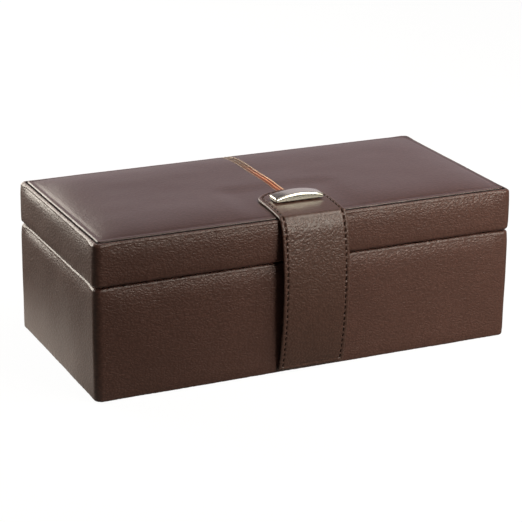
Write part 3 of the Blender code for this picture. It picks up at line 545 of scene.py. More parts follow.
def fibreboard(name, dark, light, chip):
    """Pressed wood fibre with chips and a faint run along its length."""
    nodes, place = surface(name)
    fibre = nodes.noise(place, (380.0, 1400.0, 1400.0), 4.0, 0.7)
    chips = nodes.noise(place, 620.0)
    tone = nodes.blend(nodes.ranged(fibre, 0.3, 0.7), dark, light)
    colour = nodes.blend(nodes.ranged(chips, 0.56, 0.68, 0.0, 0.6), tone, chip)
    return nodes.finish(colour, 0.8, fibre, 0.08 * MM, IOR=1.45)


def worked_metal(name, dark, light, roughness):
    """Plain metal fittings: drawn lines, a cloudy tarnish and small scratches."""
    nodes, place = surface(name)
    drawn = nodes.noise(place, (90.0, 3800.0, 3800.0), 3.0, 0.6)
    cloud = nodes.noise(place, 210.0, 4.0, 0.6)
    colour = nodes.blend(nodes.ranged(cloud, 0.35, 0.65, smooth=True), dark, light)
    rough = nodes.math("MULTIPLY_ADD", drawn, 0.14, nodes.ranged(cloud, 0.3, 0.7, roughness, roughness - 0.1))
    return nodes.finish(colour, rough, drawn, 0.012 * MM, Metallic=1.0)


WALL_LEATHER = leather(
    "wall_leather", (0.064, 0.0275, 0.0205), (0.078, 0.0340, 0.0255), 1.2 * MM, 0.15 * MM, 0.41, 1.5,
)
PANEL_LEATHER = leather(
    "panel_leather", (0.056, 0.0255, 0.022), (0.064, 0.0300, 0.026), 1.25 * MM, 0.045 * MM, 0.35, 1.6,
)
# Painted shade: near-black leather for the faces down in the gap round the panel, where shadow falls
GROOVE_SHADE_LEATHER = leather(
    "painted_groove_shade", (0.010, 0.006, 0.005), (0.014, 0.008, 0.007), 0.8 * MM, 0.03 * MM, 0.6, 1.2, ior=1.25,
)
DARK_THREAD = thread("dark_thread", (0.006, 0.003, 0.002), (0.014, 0.007, 0.005))
# Each seam strand's colour changes towards the strap as painted light and shade
TAPE = seam_painted_by_light("seam_tape", (0.12, 0.070, 0.045), (0.21, 0.048, 0.016))
PIPING = seam_painted_by_light("seam_piping", (0.10, 0.058, 0.036), (0.62, 0.230, 0.100))
RAW_EDGE = seam_painted_by_light("raw_leather_edge", (0.38, 0.285, 0.225), (0.68, 0.41, 0.265))
LEFT_EDGE = seam_painted_by_light("folded_leather_edge", (0.27, 0.195, 0.150), (0.20, 0.095, 0.062))
CHROME = chrome("bar_chrome", (0.43, 0.415, 0.36), (0.56, 0.545, 0.48))
SUEDE = suede("suede", (0.36, 0.255, 0.168), (0.45, 0.330, 0.225))
PILLOW_SUEDE = suede("pillow_suede", (0.40, 0.290, 0.195), (0.50, 0.375, 0.262))
FELT = felt("felt", (0.016, 0.011, 0.009), (0.034, 0.025, 0.021), (0.075, 0.060, 0.052))
BOARD = fibreboard("fibreboard", (0.26, 0.17, 0.095), (0.42, 0.30, 0.185), (0.17, 0.10, 0.055))
BRASS = worked_metal("brass", (0.52, 0.35, 0.13), (0.76, 0.57, 0.27), 0.34)
STEEL = worked_metal("plated_steel", (0.42, 0.42, 0.43), (0.60, 0.60, 0.61), 0.36)

# Strands of the seam: X by the strap and at the back, how far sunk, half width, half height, material
SEAM_STRANDS = {
    "seam_tape": (0.40 * MM, 0.70 * MM, 0.20 * MM, 3.0 * MM, 0.28 * MM, TAPE),
    "seam_piping": (0.30 * MM, 0.60 * MM, 0.0, 0.48 * MM, 0.40 * MM, PIPING),
    "seam_edge_right": (2.95 * MM, 3.80 * MM, 0.0, 0.50 * MM, 0.36 * MM, RAW_EDGE),
    "seam_edge_left": (-2.40 * MM, -2.20 * MM, 0.0, 0.34 * MM, 0.28 * MM, LEFT_EDGE),
}


# Leather skins

def ring(inset):
    """Points and outward directions round the box at one inset from its walls."""
    radius = max(CORNER_RADIUS - inset, TINY_RADIUS)
    centre = np.array([HALF_LENGTH, HALF_DEPTH]) - inset - radius
    points, normals = [], []
    corners = ((1, -1), (1, 1), (-1, 1), (-1, -1))
    for index, side in enumerate(corners):
        start = math.radians(-90 + 90 * index)
        for step in range(CORNER_STEPS + 1):
            angle = start + math.radians(90) * step / CORNER_STEPS
            normals.append((math.cos(angle), math.sin(angle)))
            points.append(np.array(side) * centre + radius * np.array(normals[-1]))
        goal = np.array(corners[(index + 1) % 4]) * centre + radius * np.array(normals[-1])
        count = round(2 * (HALF_DEPTH if index % 2 == 0 else HALF_LENGTH) / RING_STEP)
        first = points[-1]
        for step in range(1, count):
            normals.append(normals[-1])
            points.append(first + (goal - first) * step / count)
    return np.array(points), np.array(normals)


def rings(rows):
    """A grid of points round the box: one ring for each inset and height."""
    grid = []
    for inset, z in rows:
        plan, _ = ring(inset)
        grid.append(np.column_stack([plan, np.full(len(plan), z)]))
    return np.array(grid)


def roll(radius, inset, z, start, end, steps=ROLL_STEPS):
    """Rows of a rounded edge: inset, height and the slope of the surface."""
    rows = []
    for step in range(steps + 1):
        angle = math.radians(start + (end - start) * step / steps)
        rows.append((inset - radius * math.cos(angle), z + radius * math.sin(angle), angle))
    return rows


def skin_rows(low_z, high_z, low_radius, high_radius, low_lip, high_lip, turn_in, stops):
    """Rows of a wrap's outer side, from its upper lip over the wall to its lower lip."""
    up, down = math.radians(90), math.radians(-90)
    rows = []
    if turn_in:
        rows += [(high_lip + LIP_TURN, high_z - 2 * LIP_TURN, math.radians(180))]
        rows += roll(LIP_TURN, high_lip, high_z - LIP_TURN, 180, 90, 3)[:-1]
    rows += [(high_lip + (high_radius - high_lip) * share, high_z, up) for share in UPPER_LIP_SHARES]
    turned = high_radius * math.cos(math.radians(RIM_END_DEGREES))
    rows += roll(high_radius, turned, high_z - high_radius, 90, RIM_END_DEGREES)
    rows += [(0.0, z, 0.0) for z in stops]
    turned = low_radius * math.cos(math.radians(FOOT_END_DEGREES))
    rows += roll(low_radius, turned, low_z + low_radius, -FOOT_END_DEGREES, -90)
    rows += [(low_radius + (low_lip - low_radius) * share, low_z, down) for share in LOWER_LIP_SHARES]
    return rows


def wall_stops(low_z, high_z):
    """Heights of rows on a wall: close near both rims, wide in the middle."""
    reach = (high_z - low_z) / 2
    offsets = reach * (1 - np.linspace(0, 1, WALL_ROWS)[1:] ** WALL_CROWDING)
    return np.concatenate([high_z - reach + offsets, (low_z + reach - offsets)[::-1][1:]])


def leather_skin(name, low_z, high_z, low_radius, high_radius, low_lip, high_lip, turn_in, seed):
    """A leather wrap with rolled rims, small gathers over them and a slight unevenness."""
    wall_high = high_z - high_radius * (1 - math.sin(math.radians(RIM_END_DEGREES)))
    wall_low = low_z + low_radius * (1 - math.sin(math.radians(FOOT_END_DEGREES)))
    stops = wall_stops(wall_low, wall_high)
    outer = skin_rows(low_z, high_z, low_radius, high_radius, low_lip, high_lip, turn_in, stops)
    insets, heights, angles = (np.array(values)[:, None] for values in zip(*outer))
    plan, outward = ring(0.0)
    lengths = lengths_along(plan)
    points = rings([(inset, z) for inset, z, _ in outer])
    normals = np.array([
        np.column_stack([outward * math.cos(angle), np.full(len(outward), math.sin(angle))])
        for _, _, angle in outer
    ])
    places = points.copy()
    # Towards its back the left wall sinks more than the others, over a shorter height
    left = (normals[..., X] < -0.9) * eased(places[..., Y] / HALF_DEPTH + 0.5)
    reach = PUFF_REACH + (LEFT_PUFF_REACH - PUFF_REACH) * left
    puffed = (PUFF + (LEFT_PUFF - PUFF) * left) * np.clip(1 - (wall_high - heights) / reach, 0, 1) ** 3
    puffed = puffed + FOOT_PUFF * np.clip(1 - (heights - wall_low) / FOOT_PUFF_REACH, 0, 1) ** 2
    to_corner = np.maximum(HALF_LENGTH - np.abs(places[..., X]), HALF_DEPTH - np.abs(places[..., Y]))
    full = CORNER_PUFF_SHARE + (1 - CORNER_PUFF_SHARE) * eased((to_corner - CORNER_RADIUS) / CORNER_FADE)
    sunk = puffed * full - WALL_SWELL * room_to_swell(places)
    points[..., :2] -= normals[..., :2] * np.minimum(sunk, MOST_SUNK)[..., None]
    depth = -ripples(points, *WALL_RIPPLES, seed)
    depth += gathers(lengths, heights - (high_z - high_radius), lengths[-1], *RIM_GATHERS, seed + 1)
    depth += gathers(lengths, heights - (low_z + low_radius), lengths[-1], *FOOT_GATHERS, seed + 2)
    lips = np.clip(insets / high_radius, 0, 1)
    depth *= 1 - LIP_CALM * lips ** 2 * (np.abs(np.sin(angles)) > 0.5)
    points -= normals * depth[..., None]
    cover_magnet(points)
    cut_notches(points, low_z if turn_in else high_z, 1 if turn_in else -1)
    back = rings([
        (low_lip, low_z + LEATHER), (low_radius, low_z + LEATHER), (LEATHER, low_z + low_radius + LEATHER),
        (LEATHER, high_z - high_radius - LEATHER), (high_radius, high_z - LEATHER),
        (high_lip, high_z - LEATHER - (LIP_TURN if turn_in else 0)),
    ])
    points = np.concatenate([points, back])
    faces = quads(*points.shape[:2], wrap_rows=True, wrap_columns=True)
    return new_piece(name, points, faces, WALL_LEATHER, np.concatenate([places, back]))


def room_to_swell(places):
    """How far the walls may swell, as a share: not where the strap's foot lies on the front."""
    beside = eased((np.abs(places[..., X]) - FOOT_HALF_WIDTH) / FOOT_FADE)
    above = eased((places[..., Z] - FOOT_HEIGHT) / FOOT_FADE)
    return np.maximum(np.maximum(beside, above), places[..., Y] > 0)


def cut_notches(points, rim_z, side):
    """Flatten the back rim where the hinge leaves lie in it."""
    at_hinge = np.min([np.abs(points[..., X] - x) for x in HINGE_PLACES], axis=0) < NOTCH_HALF_LENGTH
    at_hinge &= points[..., Y] > HALF_DEPTH - RIM_LIP - NOTCH_MARGIN
    floor = rim_z + side * NOTCH_DEPTH
    level = points[..., Z]
    sunk = np.maximum(level, floor) if side > 0 else np.minimum(level, floor)
    points[..., Z] = np.where(at_hinge & (np.abs(level - rim_z) < NOTCH_REACH), sunk, level)


def over_magnet(across, along):
    """How near a place is to the magnet's middle, as a share that fades beside it."""
    return 1 - eased((np.hypot(across, along) - MAGNET_REACH) / MAGNET_FADE)


def cover_magnet(points):
    """Let the leather swell over the magnet under the strap's foot."""
    over = over_magnet(points[..., X], points[..., Z] - MAGNET_Z)
    over = over * (points[..., Y] < MAGNET_BAND - HALF_DEPTH)
    points[..., Y] += over * (-HALF_DEPTH - MAGNET_COVER - points[..., Y])


def build_skins():
    """The leather of the base and the skirt of the lid."""
    base = leather_skin(
        "base_leather", BASE_LOW.z, BASE_HIGH.z, FOOT_RADIUS, RIM_RADIUS, RIM_LIP, RIM_LIP,
        turn_in=False, seed=11,
    )
    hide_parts("base_leather_wrap")
    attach(base, "base")
    lid = leather_skin(
        "lid_leather", LID_LOW.z, LID_HIGH.z, RIM_RADIUS, RIM_RADIUS, RIM_LIP, FRAME_LIP,
        turn_in=True, seed=23,
    )
    groove_inset = FRAME_LIP - FRAME_GROOVE_WIDTH
    groove_z = LID_HIGH.z - FRAME_GROOVE_DEPTH
    # Painted shade: the lid's lip where it turns down into the groove gets the near-black groove shade
    paint_groove_shade(lid, lambda inset, z: inset > groove_inset and z > groove_z)
    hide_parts("lid_leather_skirt")
    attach(lid, "lid")


# The padded panel

def paint_groove_shade(piece, in_groove_shade):
    """Give the faces in the groove round the panel painted shade: near-black leather that stands in for the
    shadow in the gap.
    """
    piece.data.materials.append(GROOVE_SHADE_LEATHER)
    for face in piece.data.polygons:
        inset = min(HALF_LENGTH - abs(face.center.x), HALF_DEPTH - abs(face.center.y))
        if in_groove_shade(inset, face.center.z):
            face.material_index = 1


def crown(x, y):
    """How far the panel stands above its own edge, less where the strap presses it."""
    rise = np.full(np.broadcast(x, y).shape, CROWN_HEIGHT)
    for place, half in ((x, PANEL_HALF_LENGTH), (y, PANEL_HALF_DEPTH)):
        inward = np.clip((half - np.abs(place)) / CROWN_MARGIN, 0, 1)
        rise = rise * (1 - (1 - inward) ** CROWN_POWER)
    beside = 1 - eased((np.abs(x) - PRESSED_HALF_WIDTH) / PRESSED_FADE)
    ahead = 1 - eased((y - PRESSED_BACK_Y) / PRESSED_FADE)
    return rise * (1 - PRESSED_SHARE * beside * ahead)


def panel_z(x, y):
    """Height of the panel's leather at a point in plan."""
    return PANEL_EDGE_Z + crown(x, y)


def panel_surface(x, y):
    """Height of the leather with the unevenness of the foam below it."""
    inward = np.minimum(PANEL_HALF_LENGTH - np.abs(x), PANEL_HALF_DEPTH - np.abs(y)) - PANEL_EDGE_RADIUS
    uneven = level_ripples(x, y, PANEL_RIPPLES, 5) * np.clip(inward / PANEL_LEVEL_MARGIN, 0, 1)
    return panel_z(x, y) + uneven + level_ripples(x, y, PANEL_FINE_RIPPLES, 6)


def rounded_grid(xs, ys, half_x, half_y, radius):
    """A grid over a rectangle, its corners drawn in to quarter circles."""
    x, y = np.meshgrid(xs, ys)
    over_x = np.clip((np.abs(x) - (half_x - radius)) / radius, 0, 1)
    over_y = np.clip((np.abs(y) - (half_y - radius)) / radius, 0, 1)
    drawn_x = np.sign(x) * radius * over_x * (1 - np.sqrt(1 - over_y ** 2 / 2))
    drawn_y = np.sign(y) * radius * over_y * (1 - np.sqrt(1 - over_x ** 2 / 2))
    return x - drawn_x, y - drawn_y


def border_loop(rows, columns):
    """Numbers of the outer points of a grid, in order round it."""
    grid = np.arange(rows * columns).reshape(rows, columns)
    return np.concatenate([grid[0, :-1], grid[:-1, -1], grid[-1, :0:-1], grid[:0:-1, 0]])


def loop_normals(points):
    """Outward level directions at the points of a closed loop that runs anticlockwise."""
    along = np.roll(points, -1, axis=0) - np.roll(points, 1, axis=0)
    normals = np.stack([along[:, 1], -along[:, 0]], axis=1)
    return normals / np.linalg.norm(normals, axis=1)[:, None]


def edged_lines(half, step, edge, extra=()):
    """Places of grid lines: even in the middle, closer towards both ends."""
    near = [edge * share for share in EDGE_CUT_SHARES]
    inner = half - near[-1]
    middle = np.linspace(-inner, inner, round(2 * inner / step) + 1)
    keep = [value for value in middle if all(abs(value - other) > LEAST_STEP_SHARE * step for other in extra)]
    ends = [side * (half - value) for side in (-1, 1) for value in near[:-1]]
    return np.unique(np.round(np.array(keep + ends + list(extra)), 7))


def build_panel():
    """The crowned panel: foam under leather, a sewn seam across and a rolled edge."""
    radius = PANEL_EDGE_RADIUS
    half_x, half_y = PANEL_HALF_LENGTH - radius, PANEL_HALF_DEPTH - radius
    seam = [0.0] + [side * cut for side in (-1, 1) for cut in SEAM_CUTS]
    xs = edged_lines(half_x, PANEL_STEPS[X], PANEL_EDGE_CUT, seam)
    ys = edged_lines(half_y, PANEL_STEPS[Y], PANEL_EDGE_CUT)
    x, y = rounded_grid(xs, ys, half_x, half_y, PANEL_CORNER_RADIUS - radius)
    inset = np.minimum(half_x - np.abs(x), half_y - np.abs(y))
    z = bumped(bumped(panel_surface(x, y), inset, PANEL_EDGE_BUMPS), x, SEAM_BUMPS)
    top = np.stack([x, y, z], axis=-1).reshape(-1, 3)
    faces = list(quads(len(ys), len(xs)))
    loop = border_loop(len(ys), len(xs))
    edge = top[loop]
    outward = loop_normals(edge[:, :2])
    rows = [
        np.column_stack([edge[:, :2] + outward * (radius * math.sin(angle)),
                         edge[:, Z] - radius * (1 - math.cos(angle))])
        for angle in np.linspace(0, math.pi / 2, ROLL_STEPS + 1)[1:]
    ]
    rows.append(np.column_stack([edge[:, :2] + outward * radius, np.full(len(loop), PANEL_LOW.z)]))
    points, last = skirted(top, faces, loop, rows)
    faces.append(last[::-1])
    panel = new_piece("lid_padded_panel", points, faces, PANEL_LEATHER)
    # Painted shade: the panel's side down in the groove gets the near-black groove shade
    paint_groove_shade(panel, lambda inset, z: inset < PANEL_INSET + GROOVE_WIDTH and z < PANEL_EDGE_Z - GROOVE_TOP)
    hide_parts("lid_top_leather_left", "lid_top_leather_right", "lid_foam_pad")
    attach(panel, "lid")


# The strap

def strap_line():
    """The strap's back as places along it: lengths, points and outward directions in Y and Z."""
    rest_y = STRAP_LEVEL_RUN - PANEL_HALF_DEPTH
    bends = ((STRAP_BEND_RADIUS, STRAP_BEND_START, STRAP_BEND_TURN),
             (STRAP_EASED_RADIUS, STRAP_BEND_TURN, STRAP_BEND_END))
    bend = np.zeros((1, 2))
    for radius, start, end in bends:
        angles = np.linspace(start, end, BEND_STEPS)[1:, None]
        bend = np.concatenate([bend, bend[-1] + radius * np.hstack(
            [np.cos(angles) - math.cos(start), np.sin(angles) - math.sin(start)])])
    start_y = -(HALF_DEPTH + STRAP_STANDOFF) - bend[-1, 0]
    fall = (rest_y - start_y) * math.tan(STRAP_BEND_START - math.pi / 2)
    bend += (start_y, float(panel_z(0, rest_y)) + GAP - fall)
    ys = np.linspace(TAB_HIGH.y, rest_y, TAB_STEPS)
    tab = np.stack([ys, panel_z(0 * ys, ys) + GAP], axis=1)
    zs = np.linspace(bend[-1, 1], STRAP_FLOOR_GAP, FLAP_STEPS)[1:]
    share = (zs - STRAP_FLOOR_GAP) / (bend[-1, 1] - STRAP_FLOOR_GAP)
    standoff = GAP + (STRAP_STANDOFF - GAP) * share + 4 * STRAP_BOW * share * (1 - share)
    line = np.concatenate([tab, bend, np.stack([-HALF_DEPTH - standoff, zs], axis=1)])
    lengths = lengths_along(line)
    along = np.gradient(line, lengths, axis=0)
    along /= np.linalg.norm(along, axis=1)[:, None]
    return lengths, line, np.stack([along[:, 1], -along[:, 0]], axis=1)


STRAP_LENGTHS, STRAP_POINTS, STRAP_OUTWARD = strap_line()
STRAP_LENGTH = STRAP_LENGTHS[-1]
STRAP_FOLD_LENGTH = STRAP_LENGTHS[np.argmax(STRAP_OUTWARD[:, 1] < math.cos(math.radians(30)))]
STRAP_LEATHER = leather(
    "strap_leather", (0.062, 0.0285, 0.0205), (0.076, 0.0350, 0.0260), 1.50 * MM, 0.17 * MM, 0.385, 1.20,
    folded=0.7, ior=1.45, smooth_from=-STRAP_FOLD_LENGTH,
)


def on_strap(x, along, height):
    """World points of places on the strap: across, along from its tip, and off its back."""
    columns = []
    for axis in (0, 1):
        line = np.interp(along, STRAP_LENGTHS, STRAP_POINTS[:, axis])
        outward = np.interp(along, STRAP_LENGTHS, STRAP_OUTWARD[:, axis])
        columns.append(line + outward * height)
    return np.stack([x, *columns], axis=-1)


def strap_plan(across, along):
    """Flat places of a grid over the strap, its tip drawn in to a half ellipse."""
    half, tip = STRAP_HALF_WIDTH, STRAP_TIP_LENGTH
    over_x = np.abs(across) / half
    over_y = np.clip((tip - along) / tip, 0, 1)
    x = np.sign(across) * half * over_x * np.sqrt(1 - over_y ** 2 / 2)
    tip_y = tip - tip * over_y * np.sqrt(1 - over_x ** 2 / 2)
    return x, np.where(along < tip, tip_y, along)


def tip_edge(count):
    """Points round the strap's tip in its flat places."""
    angles = np.linspace(0, math.pi, count)
    along = STRAP_TIP_LENGTH - STRAP_TIP_LENGTH * np.sin(angles)
    return np.stack([STRAP_HALF_WIDTH * np.cos(angles), along], axis=1)


def strap_inset(x, along):
    """Distance from the strap's edge, round the tip too."""
    side = np.minimum(STRAP_HALF_WIDTH - np.abs(x), STRAP_LENGTH - along)
    flat = np.stack([x, along], axis=-1).reshape(-1, 2)
    near = flat[:, 1] < STRAP_TIP_LENGTH + STRAP_EDGE_FADE
    gap = np.full(len(flat), STRAP_LENGTH)
    gap[near] = np.min(np.linalg.norm(flat[near][:, None] - tip_edge(240)[None], axis=2), axis=1)
    return np.minimum(side.ravel(), gap).reshape(x.shape)


def strap_height(x, along, dented=True):
    """Height of the strap's face off its back: crowned, sunk along the stitching, soft at the edge."""
    inset = strap_inset(x, along)
    rise = bumped(STRAP_FACE, inset, STRAP_BUMPS)
    rise = rise + STRAP_CROWN * np.clip((inset - STITCH_INSET) / STRAP_CROWN_REACH, 0, 1)
    return rise - stitch_dents(x, along) if dented else rise


def stitch_dents(x, along):
    """How far the stitches pull the leather down, less the puffs between them."""
    spots = np.array(strap_stitch_spots())
    place = np.stack([x, along], axis=-1).reshape(-1, 2)
    near = (strap_inset(x, along).ravel() < 2 * STITCH_INSET).nonzero()[0]
    away = place[near][:, None] - spots[None, :, :2]
    closest = np.argmin(np.linalg.norm(away, axis=2), axis=1)
    away = away[np.arange(len(near)), closest]
    heading = spots[closest, 2] + STITCH_SLANT
    forward = np.abs(away[:, 0] * np.cos(heading) + away[:, 1] * np.sin(heading))
    sideways = -away[:, 0] * np.sin(heading) + away[:, 1] * np.cos(heading)
    end = STITCH_LENGTH / 2
    hole = bump_at(sideways, HOLE_WIDTH) * (1 - eased((forward - end + HOLE_FADE / 2) / HOLE_FADE))
    puff = bump_at(sideways, STITCH_PUFF_WIDTH) * eased((forward - end) / STITCH_PUFF_FADE)
    dents = np.zeros(len(place))
    dents[near] = STITCH_DEPTH * hole - STITCH_PUFF * puff
    return dents.reshape(x.shape)


def build_strap():
    """One strap from its tip on the lid over the fold to the foot of the box."""
    edge, half, widest = STRAP_EDGE_RADIUS, STRAP_HALF_WIDTH, STRAP_CUTS[-1]
    xs = [side * (half - cut) for side in (-1, 1) for cut in STRAP_CUTS]
    xs = np.unique(np.round(xs + list(np.linspace(widest - half, half - widest, STRAP_COLUMNS)), 7))
    even = np.arange(STRAP_EVEN_START, STRAP_LENGTH - STRAP_EVEN_END, STRAP_STEP)
    along = np.array([*STRAP_CUTS, *even, *(STRAP_LENGTH - cut for cut in STRAP_CUTS[::-1])])
    x, s = strap_plan(*np.meshgrid(xs, along))
    rows, columns = x.shape
    loop = border_loop(rows, columns)
    flat = np.stack([x, s], axis=-1).reshape(-1, 2)
    # The grid is drawn in by the edge's radius, so that the roll ends at the true outline
    at_tip = np.clip(1 - flat[:, 1] / STRAP_TIP_LENGTH, 0, 1)
    at_foot = np.clip(1 - (STRAP_LENGTH - flat[:, 1]) / STRAP_EDGE_FADE, 0, 1)
    x, s = flat[:, 0] * ((half - edge) / half), flat[:, 1] + (edge * at_tip - edge * at_foot)
    drawn = np.stack([x, s], axis=-1)
    height = strap_height(x, s) + level_ripples(x, s, STRAP_RIPPLES, 31)
    faces = list(quads(rows, columns))
    outward = loop_normals(drawn[loop])
    middle = height[loop] / 2
    rolled = [
        np.column_stack([drawn[loop] + outward * (edge * math.cos(angle)), middle + middle * math.sin(angle)])
        for angle in np.linspace(math.pi / 2, -math.pi / 2, STRAP_ROLL_STEPS + 1)[1:-1]
    ]
    points, last = skirted(np.column_stack([drawn, height]), faces, loop, rolled)
    foot = STRAP_LENGTH - MAGNET_Z + STRAP_FLOOR_GAP
    back = np.column_stack([drawn, -MAGNET_COVER * over_magnet(x, s - foot)])
    faces += [face[::-1] + len(points) for face in quads(rows, columns)]
    faces += between(last, loop + len(points))
    x, s, height = np.concatenate([points, back]).T
    places = np.stack([x, height, -s], axis=-1)
    strap = new_piece("leather_strap", on_strap(x, s, height), faces, STRAP_LEATHER, places)
    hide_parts("strap_tab", "strap_flap")
    bend_with_strap(strap)


def bend_with_strap(piece):
    """Work a piece's placing into its mesh points."""
    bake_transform(piece)


# Stitching

def stitch(length, radius, sides=8, rings=7):
    """Points of one stitch along X: a thread that dives into the leather at both ends; and its faces."""
    points = []
    for step in range(rings):
        turn = step / (rings - 1) * 2 - 1
        wide = radius * math.sqrt(max(1 - abs(turn) ** THREAD_TAPER, THREAD_END_SHARE))
        dip = -radius * THREAD_DIP * abs(turn) ** 4
        for side in range(sides):
            angle = 2 * math.pi * side / sides
            points.append((turn * length / 2, wide * math.cos(angle), dip + wide * math.sin(angle)))
    return np.array(points), capped_tube(rings, sides)


def strap_stitch_spots():
    """Places and headings of the stitches down one side of the strap, round the tip and up the other."""
    half, tip, inset = STRAP_HALF_WIDTH, STRAP_TIP_LENGTH, STITCH_INSET
    edge = tip_edge(400)
    inward = np.gradient(edge, axis=0)
    inward = np.stack([-inward[:, 1], inward[:, 0]], axis=1)
    inward /= np.linalg.norm(inward, axis=1)[:, None]
    inward *= np.sign(inward[len(edge) // 2, 1])
    end = STRAP_LENGTH - STITCH_END
    right = np.array([[half - inset, end], [half - inset, tip]])
    left = np.array([[inset - half, tip], [inset - half, end]])
    line = np.concatenate([right, (edge + inward * inset)[1:-1], left])
    lengths = lengths_along(line)
    count = int(lengths[-1] // STITCH_PITCH)
    spots = []
    for index in range(count):
        place = (index + 0.5) * lengths[-1] / count
        here, ahead = (
            [np.interp(at, lengths, line[:, axis]) for axis in (0, 1)] for at in (place, place + HEADING_STEP)
        )
        spots.append((*here, math.atan2(ahead[1] - here[1], ahead[0] - here[0])))
    return spots


def build_stitching():
    """Dark thread round the strap, pulled down into the leather."""
    shape, shape_faces = stitch(STITCH_LENGTH, THREAD_RADIUS)
    points, faces = [], []
    for across, along, heading in strap_stitch_spots():
        angle = heading + STITCH_SLANT
        x = across + shape[:, X] * math.cos(angle) - shape[:, Y] * math.sin(angle)
        y = along + shape[:, X] * math.sin(angle) + shape[:, Y] * math.cos(angle)
        height = strap_height(np.array([across]), np.array([along]), dented=False)[0]
        faces += [[number + len(points) * len(shape) for number in face] for face in shape_faces]
        points.append(on_strap(x, y, height - THREAD_SUNK + shape[:, Z]))
    dark = new_piece("strap_stitching", np.concatenate(points), faces, DARK_THREAD)
    bend_with_strap(dark)


def tube(name, line, wide, high, material, sides=16):
    """A closed strand along a line, with an oval section."""
    along = np.gradient(line, axis=0)
    along /= np.linalg.norm(along, axis=1)[:, None]
    across = np.array([1.0, 0.0, 0.0])
    up = np.cross(across, along)
    up *= np.sign(up[:, 2:3])
    points = []
    for spot, rise in zip(line, up):
        for side in range(sides):
            angle = 2 * math.pi * side / sides
            points.append(spot + wide * math.cos(angle) * across + high * math.sin(angle) * rise)
    return new_piece(name, points, capped_tube(len(line), sides), material)


def seam_line(front_x, back_x):
    """A line over the panel near its middle, from the back edge to the strap's tip."""
    edge_y, seat_z = PANEL_HALF_DEPTH - PANEL_EDGE_RADIUS, PANEL_EDGE_Z - PANEL_EDGE_RADIUS
    angles = np.linspace(0, math.pi / 2, 8)
    over = np.stack([0 * angles + back_x, edge_y + PANEL_EDGE_RADIUS * np.cos(angles),
                     seat_z + PANEL_EDGE_RADIUS * np.sin(angles)], axis=1)
    ys = np.linspace(edge_y, TAB_HIGH.y - SEAM_UNDER_TAB, SEAM_STATIONS)[1:]
    xs = np.interp(ys, (TAB_HIGH.y, edge_y), (front_x, back_x))
    return np.concatenate([over, np.stack([xs, ys, panel_surface(xs, ys)], axis=1)])


def build_seam():
    """The sewn band between the panel's halves: a tape, its piping and two leather edges, each with painted
    light and shade along it.
    """
    for name, (front_x, back_x, sunk, wide, high, material) in SEAM_STRANDS.items():
        line = seam_line(front_x, back_x)
        line[:, Z] -= sunk
        strand = tube(name, line, wide, high, material)
        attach(strand, "lid")


# The metal bar

def rounded_section(low_y, high_y, low_z, high_z, back_radius, front_radius, steps=10):
    """Points round a bar's section in Y and Z, its upper front corner rounder than the others."""
    points = []
    corners = ((high_y, high_z, 0, back_radius), (low_y, high_z, 90, front_radius),
               (low_y, low_z, 180, back_radius), (high_y, low_z, 270, back_radius))
    for y, z, start, radius in corners:
        centre_y = y - radius if y == high_y else y + radius
        centre_z = z - radius if z == high_z else z + radius
        for step in range(steps + 1):
            angle = math.radians(start + 90 * step / steps)
            points.append((centre_y + radius * math.cos(angle), centre_z + radius * math.sin(angle)))
    return points


def build_bar():
    """The arched metal bar on the strap with its two posts."""
    half, edge = BAR_HIGH.x, BAR_EDGE_RADIUS
    seat = float(panel_z(0, BAR_HIGH.y)) + 2 * GAP + STRAP_THICKNESS + BAR_LIFT
    rise = BAR_TOP - seat - BAR_END_HEIGHT
    radius = (half ** 2 + rise ** 2) / (2 * rise)
    ends = [(half - edge + edge * math.sin(angle), edge * (1 - math.cos(angle)))
            for angle in np.linspace(math.pi / 2, 0, 5)]
    middle = [(x, 0.0) for x in np.linspace(half - edge, edge - half, BAR_STATIONS)[1:-1]]
    stations = ends + middle + [(-x, inset) for x, inset in ends[::-1]]
    points = []
    for x, inset in stations:
        top = BAR_TOP - (radius - math.sqrt(radius ** 2 - x ** 2))
        front = min(BAR_FRONT_RADIUS, BAR_FRONT_SHARE * (top - seat))
        section = rounded_section(
            BAR_LOW.y + inset, BAR_HIGH.y - inset, seat + inset, top - inset,
            max(edge - inset, TINY_RADIUS), max(front - inset, TINY_RADIUS),
        )
        points += [(x, y, z) for y, z in section]
    bar = new_piece("metal_bar", points, capped_tube(len(stations), len(section)), CHROME)
    bar.data.set_sharp_from_angle(angle=math.radians(50))
    bm = bmesh.new()
    bm.from_mesh(bar.data)
    middle_y = (BAR_LOW.y + BAR_HIGH.y) / 2
    for side in (-1, 1):
        for low, wide in ((BAR_LOW.z, BAR_POST_RADIUS), (seat - BAR_LIFT, BAR_COLLAR_RADIUS)):
            high = seat + edge
            centre = Matrix.Translation((side * BAR_POST_SPREAD, middle_y, (low + high) / 2))
            bmesh.ops.create_cone(bm, cap_ends=True, segments=POST_SIDES, radius1=wide, radius2=wide,
                                  depth=high - low, matrix=centre)
    bm.to_mesh(bar.data)
    bm.free()
    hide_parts("strap_bar")
    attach(bar, "lid")


# Inside the box

def evaluated_mesh(piece):
    """The mesh of a piece with its modifiers worked in."""
    bpy.context.view_layer.update()
    return bpy.data.meshes.new_from_object(piece.evaluated_get(bpy.context.evaluated_depsgraph_get()))


def corners_of(mesh):
    """The places of a mesh's points."""
    places = np.empty(len(mesh.vertices) * 3, np.float32)
    mesh.vertices.foreach_get("co", places)
    return places.reshape(-1, 3).astype(float)


def move_corners(mesh, places):
    """Put a mesh's points at new places."""
    mesh.vertices.foreach_set("co", places.astype(np.float32).ravel())
    mesh.update()


